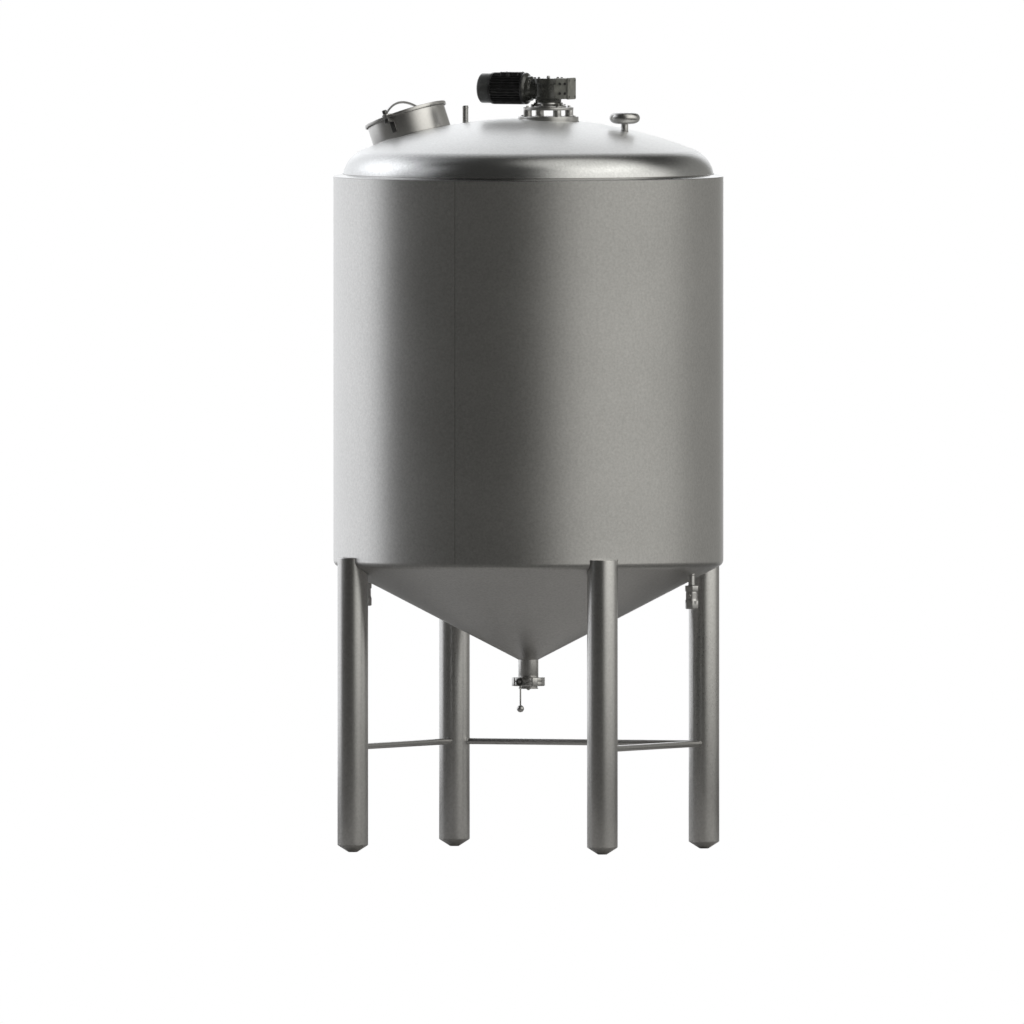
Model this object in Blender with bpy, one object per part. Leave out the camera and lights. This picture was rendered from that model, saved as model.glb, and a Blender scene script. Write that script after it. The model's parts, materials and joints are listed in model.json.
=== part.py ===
"""Insulated stainless steel process tank: a cone-bottomed vessel in a clad jacket on four tube legs.

Sizes are in metres. +Z is up, -Y is the front, and the origin is on the ground below the vessel's axis.
"""

import math

import bmesh
import bpy
from mathutils import Matrix, Vector

TAU = 2.0 * math.pi
GAP = 0.0003
SHELL_SIDES = 60
PIPE_SIDES = 28

# Vessel: a straight shell, a dished head and a cone that drains to the outlet
VESSEL_RADIUS = 1.000
VESSEL_WALL = 0.005
CONE_SLOPE = math.radians(27.4)
SHELL_BOTTOM = 1.620
SHELL_TOP = 3.615
CROWN_RADIUS = 2.450
KNUCKLE_RADIUS = 0.172
CROWN_STEPS = 5
KNUCKLE_STEPS = 3

# Cladding: thin sheet over the insulation, closed by a top ring and a cone below
CLAD_RADIUS = 1.050
CLAD_SHEET = 0.0025
CLAD_BOTTOM = 1.566
CLAD_TOP = 3.628
CLAD_KNUCKLE = 0.038
CLAD_KNUCKLE_STEPS = 3
TOP_RING_INNER = 0.9984
TOP_RING_RISE = 0.0125
FIRST_SEAM = -90.0
PANEL_ANGLE = 120.0
PANEL_NAMES = ("cladding_front_right", "cladding_rear", "cladding_front_left")

# Legs: capped tubes on the corners of a square, with cone feet
LEG_PITCH = 0.7255
LEG_RADIUS = 0.0825
LEG_WALL = 0.005
LEG_TOP = 1.586
LEG_SIDES = 24
FOOT_HEIGHT = 0.038
FOOT_TIP_RADIUS = 0.023
FOOT_SPIGOT = 0.045
BRACE_HEIGHT = 0.566
BRACE_RADIUS = 0.01685
BRACE_SIDES = 12

# Support ring: an angle section that hands the vessel's weight to the leg tops
RING_FLANGE = 0.010
RING_WEB_HEIGHT = 0.094

# Manhole: a neck square to its own tilted rim, on the left of the head
MANHOLE_X = -0.716
MANHOLE_Z = 3.957
MANHOLE_TILT = math.radians(19.0)
NECK_RADIUS = 0.215
NECK_WALL = 0.004
NECK_DEPTH = 0.165
NECK_SIDES = 40
LID_RADIUS = 0.227
LID_PLATE = 0.005
LID_LIP_INNER = 0.2205
LID_LIP_DEPTH = 0.012
LID_CHAMFER = 0.002
BOW_ARC_RADIUS = 0.623
BOW_HALF_SPAN = 0.260
BOW_PEAK = 0.0692
BOW_ROD = 0.007
BOW_STEPS = 18
BOW_SIDES = 12
LUG_HALF_WIDTH = 0.018
LUG_DEPTH = 0.003
LUG_OVERLAP = 0.004
FRONT_LUG_END = -0.295
HINGE_Y = 0.292
HINGE_PIN = 0.007
HINGE_BORE = 0.0075
HINGE_BARREL = 0.014
CHEEK_INNER = 0.022
CHEEK_THICKNESS = 0.008
CHEEK_TOP = 0.014
CHEEK_SHOULDER = -0.0175
CHEEK_BOTTOM = -0.075
PIN_STICK_OUT = 0.004
CLAMP_Y = -0.279
CLAMP_STEM = 0.006
CLAMP_STEM_END = -0.029
CLAMP_KNOB = 0.013
CLAMP_KNOB_TOP = 0.030
CLAMP_HALF_WIDTH = 0.014
CLAMP_STRIP_FRONT = -0.223
CLAMP_STRIP_BOTTOM = -0.095
CLAMP_BOSS_TOP = -0.017
CLAMP_BOSS_DEPTH = 0.024
CLAMP_SOCKET = 0.0072
CLAMP_BORE_DEPTH = 0.018

# Drive: pedestal, gearbox and motor, off the vessel's axis
DRIVE_X = 0.116
PEDESTAL_RADIUS = 0.163
PEDESTAL_TOP = 3.954
PEDESTAL_CHAMFER = 0.004
POST_RADIUS = 0.0225
POST_CIRCLE = 0.121
POST_TOP = 3.9887
DRIVE_RING_RADIUS = 0.1355
DRIVE_RING_TOP = 4.004
CAP_RADIUS = 0.086
CAP_BOTTOM = 4.130
GEARBOX_TOP = 4.160
DRUM_RADIUS = 0.078
FLANGE_TOP = 4.064
FLANGE_BOTTOM = 4.048
GEARBOX_FLANGE = 0.083
GEARBOX_CHAMFER = 0.003
BELL_NECK = 0.072
BELL_TOP = 4.041
BELL_RADIUS = 0.097
BELL_SHOULDER = 4.013
END_BLOCK_START = 0.172
END_BLOCK_END = 0.254
END_BLOCK_HALF_WIDTH = 0.056
END_BLOCK_BOTTOM = 4.047
END_BLOCK_TOP = 4.163
BREATHER_RADIUS = 0.012
BREATHER_HEIGHT = 0.013
MOTOR_AXIS = 4.103
MOTOR_RADIUS = 0.0855
MOTOR_END = -0.206
MOTOR_START = 0.005
FLANGE_END = 0.022
FLANGE_RADIUS = 0.082
COLLAR_RADIUS = 0.058
COLLAR_END = 0.086
FAN_COVER_END = -0.278
FAN_COVER_RADIUS = 0.080
FAN_COVER_ROUNDING = 0.022
FAN_COVER_STEPS = 3
TERMINAL_BOX = ((-0.150, -0.048, 4.163), (-0.040, 0.048, 4.193))

# Head fittings: a closed stub tube and a mushroom vent
STUB_X = -0.366
STUB_RADIUS = 0.0155
STUB_WALL = 0.003
STUB_CAP = 0.004
STUB_TOP = 4.009
FITTING_DEPTH = 0.030
FITTING_SIDES = 24
VENT_X = 0.560
VENT_STEM_RADIUS = 0.019
VENT_STEM_REACH = 0.012
VENT_CAP_RADIUS = 0.0815
VENT_CAP_BOTTOM = 3.917
VENT_CAP_TOP = 3.982
VENT_CAP_MOUTH = 0.023
BUN_POWER = 0.6
BUN_STEPS = 8

# Outlet: a pipe, a butterfly valve with a lever, and a ferrule
OUTLET_RADIUS = 0.054
OUTLET_WALL = 0.004
VALVE_RADIUS = 0.089
VALVE_TOP = 0.933
VALVE_BOTTOM = 0.885
VALVE_AXIS = 0.909
VALVE_BORE = 0.050
DISC_RADIUS = 0.047
STEM_RADIUS = 0.008
STEM_BORE = 0.0085
STEM_START = -0.038
STEM_BOSS_RADIUS = 0.017
STEM_BOSS_START = -0.075
STEM_BOSS_END = -0.100
DISC_HALF_THICKNESS = 0.004
LEVER_Y = -0.114
HUB_RADIUS = 0.0215
HUB_HALF_LENGTH = 0.013
STEM_STICK_OUT = 0.003
ROD_INSIDE_HUB = 0.004
LEVER_ROD = 0.0045
BALL_RADIUS = 0.0193
BALL_Z = 0.765
FERRULE_RADIUS = 0.0525
FERRULE_BORE = 0.047
FERRULE_BOTTOM = 0.870

# Jacket fittings: a pipe through the cone and a union below it, one on each side
JACKET_X = 0.949
JACKET_PIPE_RADIUS = 0.0175
JACKET_PIPE_TOP = 1.584
JACKET_UNION_TOP = 1.434
JACKET_UNION_BOTTOM = 1.308
JACKET_BORE = 0.012
JACKET_BORE_END = 1.340
UNION_RADIUS = 0.0365
UNION_WAIST = 0.031
UNION_RIM = 0.0325
UNION_BOSS_RADIUS = 0.009
UNION_BOSS_START = 0.020
UNION_BOSS_END = 0.042
UNION_BOSS_DROP = 0.055


def principled(name, colour, roughness, metallic):
    """A plain finish."""
    finish = bpy.data.materials.new(name)
    finish.use_nodes = True
    shader = finish.node_tree.nodes["Principled BSDF"]
    shader.inputs["Base Color"].default_value = (*colour, 1.0)
    shader.inputs["Roughness"].default_value = roughness
    shader.inputs["Metallic"].default_value = metallic
    return finish


def empty(name, place, parent=None):
    """A frame for the pieces that share its place and tilt."""
    frame = bpy.data.objects.new(name, None)
    frame.matrix_local = place
    frame.parent = parent
    bpy.context.collection.objects.link(frame)
    return frame


def piece(name, body, finish, parent=None):
    """One object from a bmesh, smooth except at its sharp edges."""
    mesh = bpy.data.meshes.new(name)
    bmesh.ops.recalc_face_normals(body, faces=body.faces)
    body.to_mesh(mesh)
    body.free()
    mesh.shade_smooth()
    mesh.set_sharp_from_angle(angle=math.radians(30.0))
    if finish:
        mesh.materials.append(finish)
    solid = bpy.data.objects.new(name, mesh)
    solid.parent = parent
    bpy.context.collection.objects.link(solid)
    return solid


def tool(name, body, parent=None):
    """A hidden solid that a Boolean adds or takes away."""
    solid = piece(name, body, None, parent)
    solid.hide_render = True
    solid.display_type = "WIRE"
    return solid


def combine(target, operation, *tools):
    """Add (UNION) or take away (DIFFERENCE) each tool."""
    for solid in tools:
        step = target.modifiers.new(solid.name, "BOOLEAN")
        step.operation = operation
        step.solver = "EXACT"
        step.object = solid


def turned(outline, sides, angle=TAU, start=0.0):
    """A body of (radius, height) points turned about Z; an outline that ends off the axis is closed first."""
    body = bmesh.new()
    turn = Matrix.Rotation(start, 4, "Z")
    points = [body.verts.new(turn @ Vector((radius, 0.0, height))) for radius, height in outline]
    from_axis = outline[0][0] == 0.0 and outline[-1][0] == 0.0
    following = points[1:] if from_axis else points[1:] + points[:1]
    profile = points + [body.edges.new(pair) for pair in zip(points, following)]
    whole = angle == TAU
    if not whole:
        profile.append(body.faces.new(points))
    bmesh.ops.spin(
        body,
        geom=profile,
        cent=(0.0, 0.0, 0.0),
        axis=(0.0, 0.0, 1.0),
        angle=angle,
        steps=sides,
        use_merge=whole,
    )
    bmesh.ops.remove_doubles(body, verts=body.verts, dist=1e-6)
    return body


def placed(body, place):
    """The same body, moved and turned."""
    bmesh.ops.transform(body, matrix=place, verts=body.verts)
    return body


def cylinder(radius, bottom, top, sides):
    """A solid cylinder about Z."""
    return turned([(0.0, top), (radius, top), (radius, bottom), (0.0, bottom)], sides)


def tube(outer, inner, bottom, top, sides):
    """An open tube about Z."""
    return turned([(inner, top), (outer, top), (outer, bottom), (inner, bottom)], sides)


def block(low, high):
    """A box between two corners."""
    size = [b - a for a, b in zip(low, high)]
    middle = [(a + b) / 2.0 for a, b in zip(low, high)]
    body = bmesh.new()
    bmesh.ops.create_cube(body, size=1.0, matrix=Matrix.Translation(middle) @ Matrix.Diagonal((*size, 1.0)))
    return body


def plate(outline, low, high):
    """A flat outline in Y and Z, extruded along X between two planes."""
    body = bmesh.new()
    face = body.faces.new([body.verts.new((low, y, z)) for y, z in outline])
    grown = bmesh.ops.extrude_face_region(body, geom=[face])["geom"]
    moved = [part for part in grown if isinstance(part, bmesh.types.BMVert)]
    bmesh.ops.translate(body, vec=(high - low, 0.0, 0.0), verts=moved)
    return body


def merged(*bodies):
    """Several bodies that don't touch, in one mesh, for use as a cutter."""
    whole = bmesh.new()
    for body in bodies:
        mesh = bpy.data.meshes.new("part")
        body.to_mesh(mesh)
        body.free()
        whole.from_mesh(mesh)
        bpy.data.meshes.remove(mesh)
    return whole


def arc(centre, radius, first, last, steps):
    """Points on a circle in (radius, height), angles from the outward direction, upwards positive."""
    angles = [first + (last - first) * step / steps for step in range(steps + 1)]
    return [(centre[0] + radius * math.cos(a), centre[1] + radius * math.sin(a)) for a in angles]


def along_x(x, height):
    """Turns a body's Z axis to +X, through a point at this height."""
    return Matrix.Translation((x, 0.0, height)) @ Matrix.Rotation(math.radians(90.0), 4, "Y")


def along_front(y, height):
    """Turns a body's Z axis to -Y, through a point at this height."""
    return Matrix.Translation((0.0, y, height)) @ Matrix.Rotation(math.radians(90.0), 4, "X")


KNUCKLE_CENTRE = (VESSEL_RADIUS - KNUCKLE_RADIUS, SHELL_TOP)
CROWN_ANGLE = math.asin(KNUCKLE_CENTRE[0] / (CROWN_RADIUS - KNUCKLE_RADIUS))
CROWN_CENTRE_Z = SHELL_TOP - math.sqrt((CROWN_RADIUS - KNUCKLE_RADIUS) ** 2 - KNUCKLE_CENTRE[0] ** 2)


def crown_outline(offset, trim=0.0):
    """The head's crown from its middle to its edge, moved outwards by an offset and cut short by a trim."""
    middle = math.radians(90.0)
    edge = middle - CROWN_ANGLE + trim / CROWN_RADIUS
    crown = arc((0.0, CROWN_CENTRE_Z), CROWN_RADIUS + offset, middle, edge, CROWN_STEPS)
    crown[0] = (0.0, crown[0][1])
    return crown


def knuckle_outline(offset, trim=0.0):
    """The tight bend from the crown's edge down to the shell, moved and trimmed in the same way."""
    start = math.radians(90.0) - CROWN_ANGLE - trim / KNUCKLE_RADIUS
    return arc(KNUCKLE_CENTRE, KNUCKLE_RADIUS + offset, start, 0.0, KNUCKLE_STEPS)


def dome_height(radius):
    """The height of the head's crown at a distance from the axis."""
    return CROWN_CENTRE_Z + math.sqrt(CROWN_RADIUS**2 - radius**2)


def leg_places():
    """Each leg's name and place."""
    for depth, y in (("front", -LEG_PITCH), ("rear", LEG_PITCH)):
        for side, x in (("left", -LEG_PITCH), ("right", LEG_PITCH)):
            yield f"{depth}_{side}", x, y


def make_legs(steel):
    """Four capped tubes, each with a cone foot plugged into its lower end."""
    bore = LEG_RADIUS - LEG_WALL
    for corner, x, y in leg_places():
        frame = empty(f"{corner}_corner", Matrix.Translation((x, y, 0.0)))
        leg = [
            (0.0, LEG_TOP),
            (LEG_RADIUS, LEG_TOP),
            (LEG_RADIUS, FOOT_HEIGHT),
            (bore, FOOT_HEIGHT),
            (bore, LEG_TOP - LEG_WALL),
            (0.0, LEG_TOP - LEG_WALL),
        ]
        piece(f"leg_{corner}", turned(leg, LEG_SIDES), steel, frame)
        foot = [
            (0.0, FOOT_HEIGHT + FOOT_SPIGOT),
            (bore - GAP, FOOT_HEIGHT + FOOT_SPIGOT),
            (bore - GAP, FOOT_HEIGHT - GAP),
            (LEG_RADIUS, FOOT_HEIGHT - GAP),
            (FOOT_TIP_RADIUS, 0.0),
            (0.0, 0.0),
        ]
        piece(f"foot_{corner}", turned(foot, LEG_SIDES), steel, frame)


def make_braces(steel, cutters):
    """Three tie bars low between the legs; the front stays open."""
    half = Matrix.Rotation(math.radians(90.0), 4, "X")
    bars = (
        ("brace_left", Matrix.Translation((-LEG_PITCH, 0.0, BRACE_HEIGHT)) @ half),
        ("brace_right", Matrix.Translation((LEG_PITCH, 0.0, BRACE_HEIGHT)) @ half),
        ("brace_rear", along_x(0.0, BRACE_HEIGHT)),
    )
    for name, place in bars:
        body = placed(cylinder(BRACE_RADIUS, -LEG_PITCH, LEG_PITCH, BRACE_SIDES), place)
        bar = piece(name, body, steel)
        if name == "brace_rear":
            bar.location.y = LEG_PITCH
        combine(bar, "DIFFERENCE", cutters["legs"])


def make_support_ring(steel):
    """An angle ring: its flange lies on the leg tops, its web stands round the shell."""
    inner = VESSEL_RADIUS + GAP
    outer = CLAD_RADIUS - CLAD_SHEET - GAP
    bottom = LEG_TOP + GAP
    outline = [
        (inner, bottom + RING_WEB_HEIGHT),
        (inner + RING_FLANGE, bottom + RING_WEB_HEIGHT),
        (inner + RING_FLANGE, bottom + RING_FLANGE),
        (outer, bottom + RING_FLANGE),
        (outer, bottom),
        (inner, bottom),
    ]
    piece("support_ring", turned(outline, SHELL_SIDES), steel)


def make_vessel(steel, cutters):
    """The pressure shell: a straight part, a cone below it and a head of crown and knuckle plates."""
    inner = VESSEL_RADIUS - VESSEL_WALL
    shell = tube(VESSEL_RADIUS, inner, SHELL_BOTTOM + GAP, SHELL_TOP - GAP, SHELL_SIDES)
    piece("vessel_shell", shell, steel)

    half_turn = math.radians(180.0)
    seam = block((-CLAD_RADIUS, -GAP / 2.0, SHELL_BOTTOM), (CLAD_RADIUS, GAP / 2.0, STUB_TOP))
    seam_tool = tool("head_seam", seam)
    for part, side in (("crown", crown_outline), ("knuckle", knuckle_outline)):
        outline = side(0.0, GAP / 2.0) + side(-VESSEL_WALL, GAP / 2.0)[::-1]
        for depth, start in (("front", -half_turn), ("rear", 0.0)):
            shape = turned(outline, SHELL_SIDES // 2, half_turn, start)
            head = piece(f"head_{part}_{depth}", shape, steel)
            combine(head, "DIFFERENCE", seam_tool, cutters["neck"], cutters["head_fittings"])

    rise = math.tan(CONE_SLOPE)
    wall = VESSEL_WALL / math.cos(CONE_SLOPE)
    hole = OUTLET_RADIUS + GAP
    low = SHELL_BOTTOM - (VESSEL_RADIUS - hole) * rise
    cone = [
        (VESSEL_RADIUS - wall / rise, SHELL_BOTTOM),
        (VESSEL_RADIUS, SHELL_BOTTOM),
        (hole, low),
        (hole, low + wall),
    ]
    piece("vessel_cone", turned(cone, SHELL_SIDES), steel)
    return low + wall


def make_cladding(steel, cutters):
    """Three rolled panels, the ring that closes them above and the cone that closes them below."""
    inner = CLAD_RADIUS - CLAD_SHEET
    outline = [(inner, CLAD_TOP), (CLAD_RADIUS, CLAD_TOP)]
    outline += [(CLAD_RADIUS, CLAD_BOTTOM + GAP), (inner, CLAD_BOTTOM + GAP)]
    seam = GAP / CLAD_RADIUS
    panel_angle = math.radians(PANEL_ANGLE)
    sides = round(SHELL_SIDES * PANEL_ANGLE / 360.0)
    for number, name in enumerate(PANEL_NAMES):
        start = math.radians(FIRST_SEAM) + number * panel_angle + seam / 2.0
        panel = piece(name, turned(outline, sides, panel_angle - seam, start), steel)
        combine(panel, "DIFFERENCE", cutters["legs"])

    ring = [
        (TOP_RING_INNER, CLAD_TOP + GAP + TOP_RING_RISE + CLAD_SHEET),
        (CLAD_RADIUS, CLAD_TOP + GAP + CLAD_SHEET),
        (CLAD_RADIUS, CLAD_TOP + GAP),
        (TOP_RING_INNER, CLAD_TOP + GAP + TOP_RING_RISE),
    ]
    piece("cladding_top_ring", turned(ring, SHELL_SIDES), steel)

    bend = CONE_SLOPE - math.radians(90.0)
    centre = (CLAD_RADIUS - CLAD_KNUCKLE, CLAD_BOTTOM)
    outside = arc(centre, CLAD_KNUCKLE, 0.0, bend, CLAD_KNUCKLE_STEPS)
    inside = arc(centre, CLAD_KNUCKLE - CLAD_SHEET, 0.0, bend, CLAD_KNUCKLE_STEPS)
    hole = OUTLET_RADIUS + GAP
    for side in (outside, inside):
        radius, height = side[-1]
        side.append((hole, height - (radius - hole) * math.tan(CONE_SLOPE)))
    cone = piece("cladding_cone", turned(outside + inside[::-1], SHELL_SIDES), steel)
    combine(cone, "DIFFERENCE", cutters["legs"], cutters["jacket_pipes"])


def make_manhole(steel, dark, frame, cutters):
    """A tilted neck with a hinged, bowed lid that one screw clamps at the front."""
    neck = tube(NECK_RADIUS, NECK_RADIUS - NECK_WALL, -NECK_DEPTH, 0.0, NECK_SIDES)
    piece("manhole_neck", neck, steel, frame)

    top = GAP + LID_PLATE
    lid_frame = empty("lid_hinge", Matrix.Translation((0.0, HINGE_Y, 0.0)), frame)
    to_hinge = Matrix.Translation((0.0, -HINGE_Y, 0.0))
    outline = [
        (0.0, top),
        (LID_RADIUS - LID_CHAMFER, top),
        (LID_RADIUS, top - LID_CHAMFER),
        (LID_RADIUS, -LID_LIP_DEPTH),
        (LID_LIP_INNER, -LID_LIP_DEPTH),
        (LID_LIP_INNER, GAP),
        (0.0, GAP),
    ]
    lid = piece("manhole_lid", placed(turned(outline, NECK_SIDES), to_hinge), steel, lid_frame)
    lug_start = LID_RADIUS - LUG_OVERLAP
    front_lug = block((-LUG_HALF_WIDTH, FRONT_LUG_END, -LUG_DEPTH), (LUG_HALF_WIDTH, -lug_start, top))
    rear_lug = block((-LUG_HALF_WIDTH, lug_start, -LUG_DEPTH), (LUG_HALF_WIDTH, HINGE_Y, top))
    barrel = cylinder(HINGE_BARREL, -LUG_HALF_WIDTH, LUG_HALF_WIDTH, 24)
    barrel = placed(barrel, along_x(0.0, 0.0))
    pin_hole = cylinder(HINGE_BORE, -2.0 * LUG_HALF_WIDTH, 2.0 * LUG_HALF_WIDTH, 24)
    pin_hole = placed(pin_hole, along_x(0.0, 0.0))
    screw_hole = cylinder(CLAMP_STEM + GAP, -0.02, 0.02, 16)
    combine(
        lid,
        "UNION",
        tool("front_lug_shape", placed(front_lug, to_hinge), lid_frame),
        tool("rear_lug_shape", placed(rear_lug, to_hinge), lid_frame),
        tool("barrel_shape", barrel, lid_frame),
    )
    combine(
        lid,
        "DIFFERENCE",
        tool("hinge_pin_hole", pin_hole, lid_frame),
        tool("clamp_hole", placed(screw_hole, Matrix.Translation((0.0, CLAMP_Y - HINGE_Y, 0.0))), lid_frame),
    )

    piece("lid_bow", placed(bow_shape(top + GAP), to_hinge), steel, lid_frame)

    chamfer = 0.003
    screw = [
        (0.0, CLAMP_KNOB_TOP),
        (CLAMP_KNOB - chamfer, CLAMP_KNOB_TOP),
        (CLAMP_KNOB, CLAMP_KNOB_TOP - chamfer),
        (CLAMP_KNOB, top + chamfer),
        (CLAMP_STEM + chamfer, top + GAP),
        (CLAMP_STEM, top + GAP),
        (CLAMP_STEM, CLAMP_STEM_END),
        (0.0, CLAMP_STEM_END),
    ]
    screw_body = placed(turned(screw, 16), Matrix.Translation((0.0, CLAMP_Y - HINGE_Y, 0.0)))
    piece("lid_clamp_screw", screw_body, dark, lid_frame)

    half = CLAMP_HALF_WIDTH
    inside_neck = -NECK_RADIUS + 0.010
    strip = block((-half, CLAMP_STRIP_FRONT, CLAMP_STRIP_BOTTOM), (half, inside_neck, CLAMP_BOSS_TOP))
    bracket = piece("clamp_bracket", strip, dark, frame)
    boss_bottom = CLAMP_BOSS_TOP - CLAMP_BOSS_DEPTH
    boss = block((-half, CLAMP_Y - half, boss_bottom), (half, -NECK_RADIUS, CLAMP_BOSS_TOP))
    socket = cylinder(CLAMP_SOCKET, CLAMP_BOSS_TOP - CLAMP_BORE_DEPTH, 0.0, 16)
    combine(bracket, "UNION", tool("clamp_boss_shape", boss, frame))
    socket = placed(socket, Matrix.Translation((0.0, CLAMP_Y, 0.0)))
    combine(bracket, "DIFFERENCE", tool("clamp_socket", socket, frame), cutters["neck"])

    cheek = [
        (-inside_neck, CHEEK_BOTTOM),
        (-inside_neck, CHEEK_SHOULDER),
        (0.233, CHEEK_SHOULDER),
        (0.236, CHEEK_TOP),
        (HINGE_Y + CHEEK_TOP, CHEEK_TOP),
        (HINGE_Y + CHEEK_TOP, -CHEEK_TOP),
        (0.240, CHEEK_BOTTOM),
    ]
    outer = CHEEK_INNER + CHEEK_THICKNESS
    hinge = piece("hinge_bracket", plate(cheek, CHEEK_INNER, outer), steel, frame)
    pin_end = outer + PIN_STICK_OUT
    pin = placed(cylinder(HINGE_PIN, -pin_end, pin_end, 24), along_x(0.0, 0.0))
    combine(
        hinge,
        "UNION",
        tool("hinge_pin_shape", placed(pin, Matrix.Translation((0.0, HINGE_Y, 0.0))), frame),
        tool("left_cheek_shape", plate(cheek, -outer, -CHEEK_INNER), frame),
    )
    combine(hinge, "DIFFERENCE", cutters["neck"])


def bow_shape(foot):
    """A round rod on a shallow arc over the lid, its ends flattened where they lie on the lugs."""
    body = bmesh.new()
    reach = math.asin(BOW_HALF_SPAN / BOW_ARC_RADIUS)
    middle = Vector((0.0, 0.0, BOW_PEAK - BOW_ARC_RADIUS))
    across = Vector((1.0, 0.0, 0.0))
    rings = []
    for step in range(BOW_STEPS + 1):
        angle = reach * (2.0 * step / BOW_STEPS - 1.0)
        up = Vector((0.0, math.sin(angle), math.cos(angle)))
        ring = []
        for side in range(BOW_SIDES):
            turn = TAU * (side + 0.5) / BOW_SIDES
            offset = across * math.cos(turn) + up * math.sin(turn)
            point = middle + up * BOW_ARC_RADIUS + BOW_ROD * offset
            point.z = max(point.z, foot)
            ring.append(body.verts.new(point))
        rings.append(ring)
    for ring, following in zip(rings, rings[1:]):
        for side in range(BOW_SIDES):
            last = (side + 1) % BOW_SIDES
            body.faces.new((ring[side], ring[last], following[last], following[side]))
    body.faces.new(rings[0])
    body.faces.new(rings[-1])
    return body


def gearbox_outline(offset, top, bottom):
    """The gearbox from its cap down to its lower flange, moved outwards by an offset."""
    return [
        (0.0, top),
        (CAP_RADIUS + offset, top),
        (CAP_RADIUS + offset, CAP_BOTTOM - offset),
        (DRUM_RADIUS + offset, CAP_BOTTOM - offset),
        (DRUM_RADIUS + offset, FLANGE_TOP + offset),
        (GEARBOX_FLANGE + offset, FLANGE_TOP + offset),
        (GEARBOX_FLANGE + offset, bottom),
    ]


def make_drive(steel, cast, dark, grey, frame):
    """A post pedestal on the head, a right-angle gearbox and the motor that lies beside it."""
    under_dome = SHELL_TOP + 0.3
    base = [
        (0.0, PEDESTAL_TOP),
        (PEDESTAL_RADIUS - PEDESTAL_CHAMFER, PEDESTAL_TOP),
        (PEDESTAL_RADIUS, PEDESTAL_TOP - PEDESTAL_CHAMFER),
        (PEDESTAL_RADIUS, under_dome),
        (0.0, under_dome),
    ]
    pedestal = piece("drive_pedestal", turned(base, NECK_SIDES), steel, frame)
    dome = [*crown_outline(GAP), *knuckle_outline(GAP)[1:], (0.0, SHELL_TOP)]
    dome_tool = tool("head_shape", turned(dome, SHELL_SIDES))
    combine(pedestal, "DIFFERENCE", dome_tool)
    posts = []
    for corner in range(4):
        angle = math.radians(45.0 + 90.0 * corner)
        place = Matrix.Translation((POST_CIRCLE * math.cos(angle), POST_CIRCLE * math.sin(angle), 0.0))
        posts.append(placed(cylinder(POST_RADIUS, PEDESTAL_TOP - 0.006, POST_TOP, 16), place))
    combine(pedestal, "UNION", tool("post_shapes", merged(*posts), frame))

    ring = cylinder(DRIVE_RING_RADIUS, POST_TOP + GAP, DRIVE_RING_TOP, NECK_SIDES)
    piece("drive_ring", ring, steel, frame)

    housing = gearbox_outline(0.0, GEARBOX_TOP, FLANGE_BOTTOM)
    housing[1:2] = [
        (CAP_RADIUS - GEARBOX_CHAMFER, GEARBOX_TOP),
        (CAP_RADIUS, GEARBOX_TOP - GEARBOX_CHAMFER),
    ]
    housing += [
        (BELL_NECK, BELL_TOP),
        (BELL_RADIUS, BELL_SHOULDER),
        (BELL_RADIUS, DRIVE_RING_TOP + GAP),
        (0.0, DRIVE_RING_TOP + GAP),
    ]
    piece("gearbox_housing", turned(housing, NECK_SIDES), cast, frame)
    over = END_BLOCK_TOP + 0.01
    under = FLANGE_BOTTOM - 0.02
    room = gearbox_outline(GAP, over, under) + [(0.0, under)]
    gearbox_room = tool("gearbox_room", turned(room, NECK_SIDES), frame)

    end = block(
        (END_BLOCK_START - DRIVE_X, -END_BLOCK_HALF_WIDTH, END_BLOCK_BOTTOM),
        (END_BLOCK_END - DRIVE_X, END_BLOCK_HALF_WIDTH, END_BLOCK_TOP),
    )
    block_piece = piece("gearbox_end_cover", end, cast, frame)
    combine(block_piece, "DIFFERENCE", gearbox_room)

    start = MOTOR_START + GAP - DRIVE_X
    collar_end = COLLAR_END - DRIVE_X
    adapter = [
        (0.0, collar_end),
        (COLLAR_RADIUS, collar_end),
        (COLLAR_RADIUS, FLANGE_END - DRIVE_X),
        (FLANGE_RADIUS, FLANGE_END - DRIVE_X),
        (FLANGE_RADIUS, start),
        (0.0, start),
    ]
    body = placed(turned(adapter, PIPE_SIDES), along_x(0.0, MOTOR_AXIS))
    adapter_piece = piece("motor_adapter", body, cast, frame)
    combine(adapter_piece, "DIFFERENCE", gearbox_room)

    motor = cylinder(MOTOR_RADIUS, MOTOR_END - DRIVE_X, MOTOR_START - DRIVE_X, PIPE_SIDES)
    piece("motor_body", placed(motor, along_x(0.0, MOTOR_AXIS)), dark, frame)
    cover_start = MOTOR_END - GAP - DRIVE_X
    cover_end = FAN_COVER_END - DRIVE_X
    rounding = FAN_COVER_ROUNDING
    centre = (FAN_COVER_RADIUS - rounding, cover_end + rounding)
    cover = [(0.0, cover_start), (FAN_COVER_RADIUS, cover_start)]
    cover += arc(centre, rounding, 0.0, math.radians(-90.0), FAN_COVER_STEPS)
    cover.append((0.0, cover_end))
    fan_body = placed(turned(cover, PIPE_SIDES), along_x(0.0, MOTOR_AXIS))
    piece("motor_fan_cover", fan_body, grey, frame)

    box_body = placed(block(*TERMINAL_BOX), Matrix.Translation((-DRIVE_X, 0.0, 0.0)))
    box = piece("motor_terminal_box", box_body, dark, frame)
    room = cylinder(MOTOR_RADIUS + GAP, MOTOR_END - DRIVE_X, MOTOR_START - DRIVE_X, PIPE_SIDES)
    combine(box, "DIFFERENCE", tool("motor_room", placed(room, along_x(0.0, MOTOR_AXIS)), frame))

    start = GEARBOX_TOP + GAP
    breather = cylinder(BREATHER_RADIUS, start, start + BREATHER_HEIGHT, 16)
    piece("gearbox_breather", breather, cast, frame)


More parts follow.
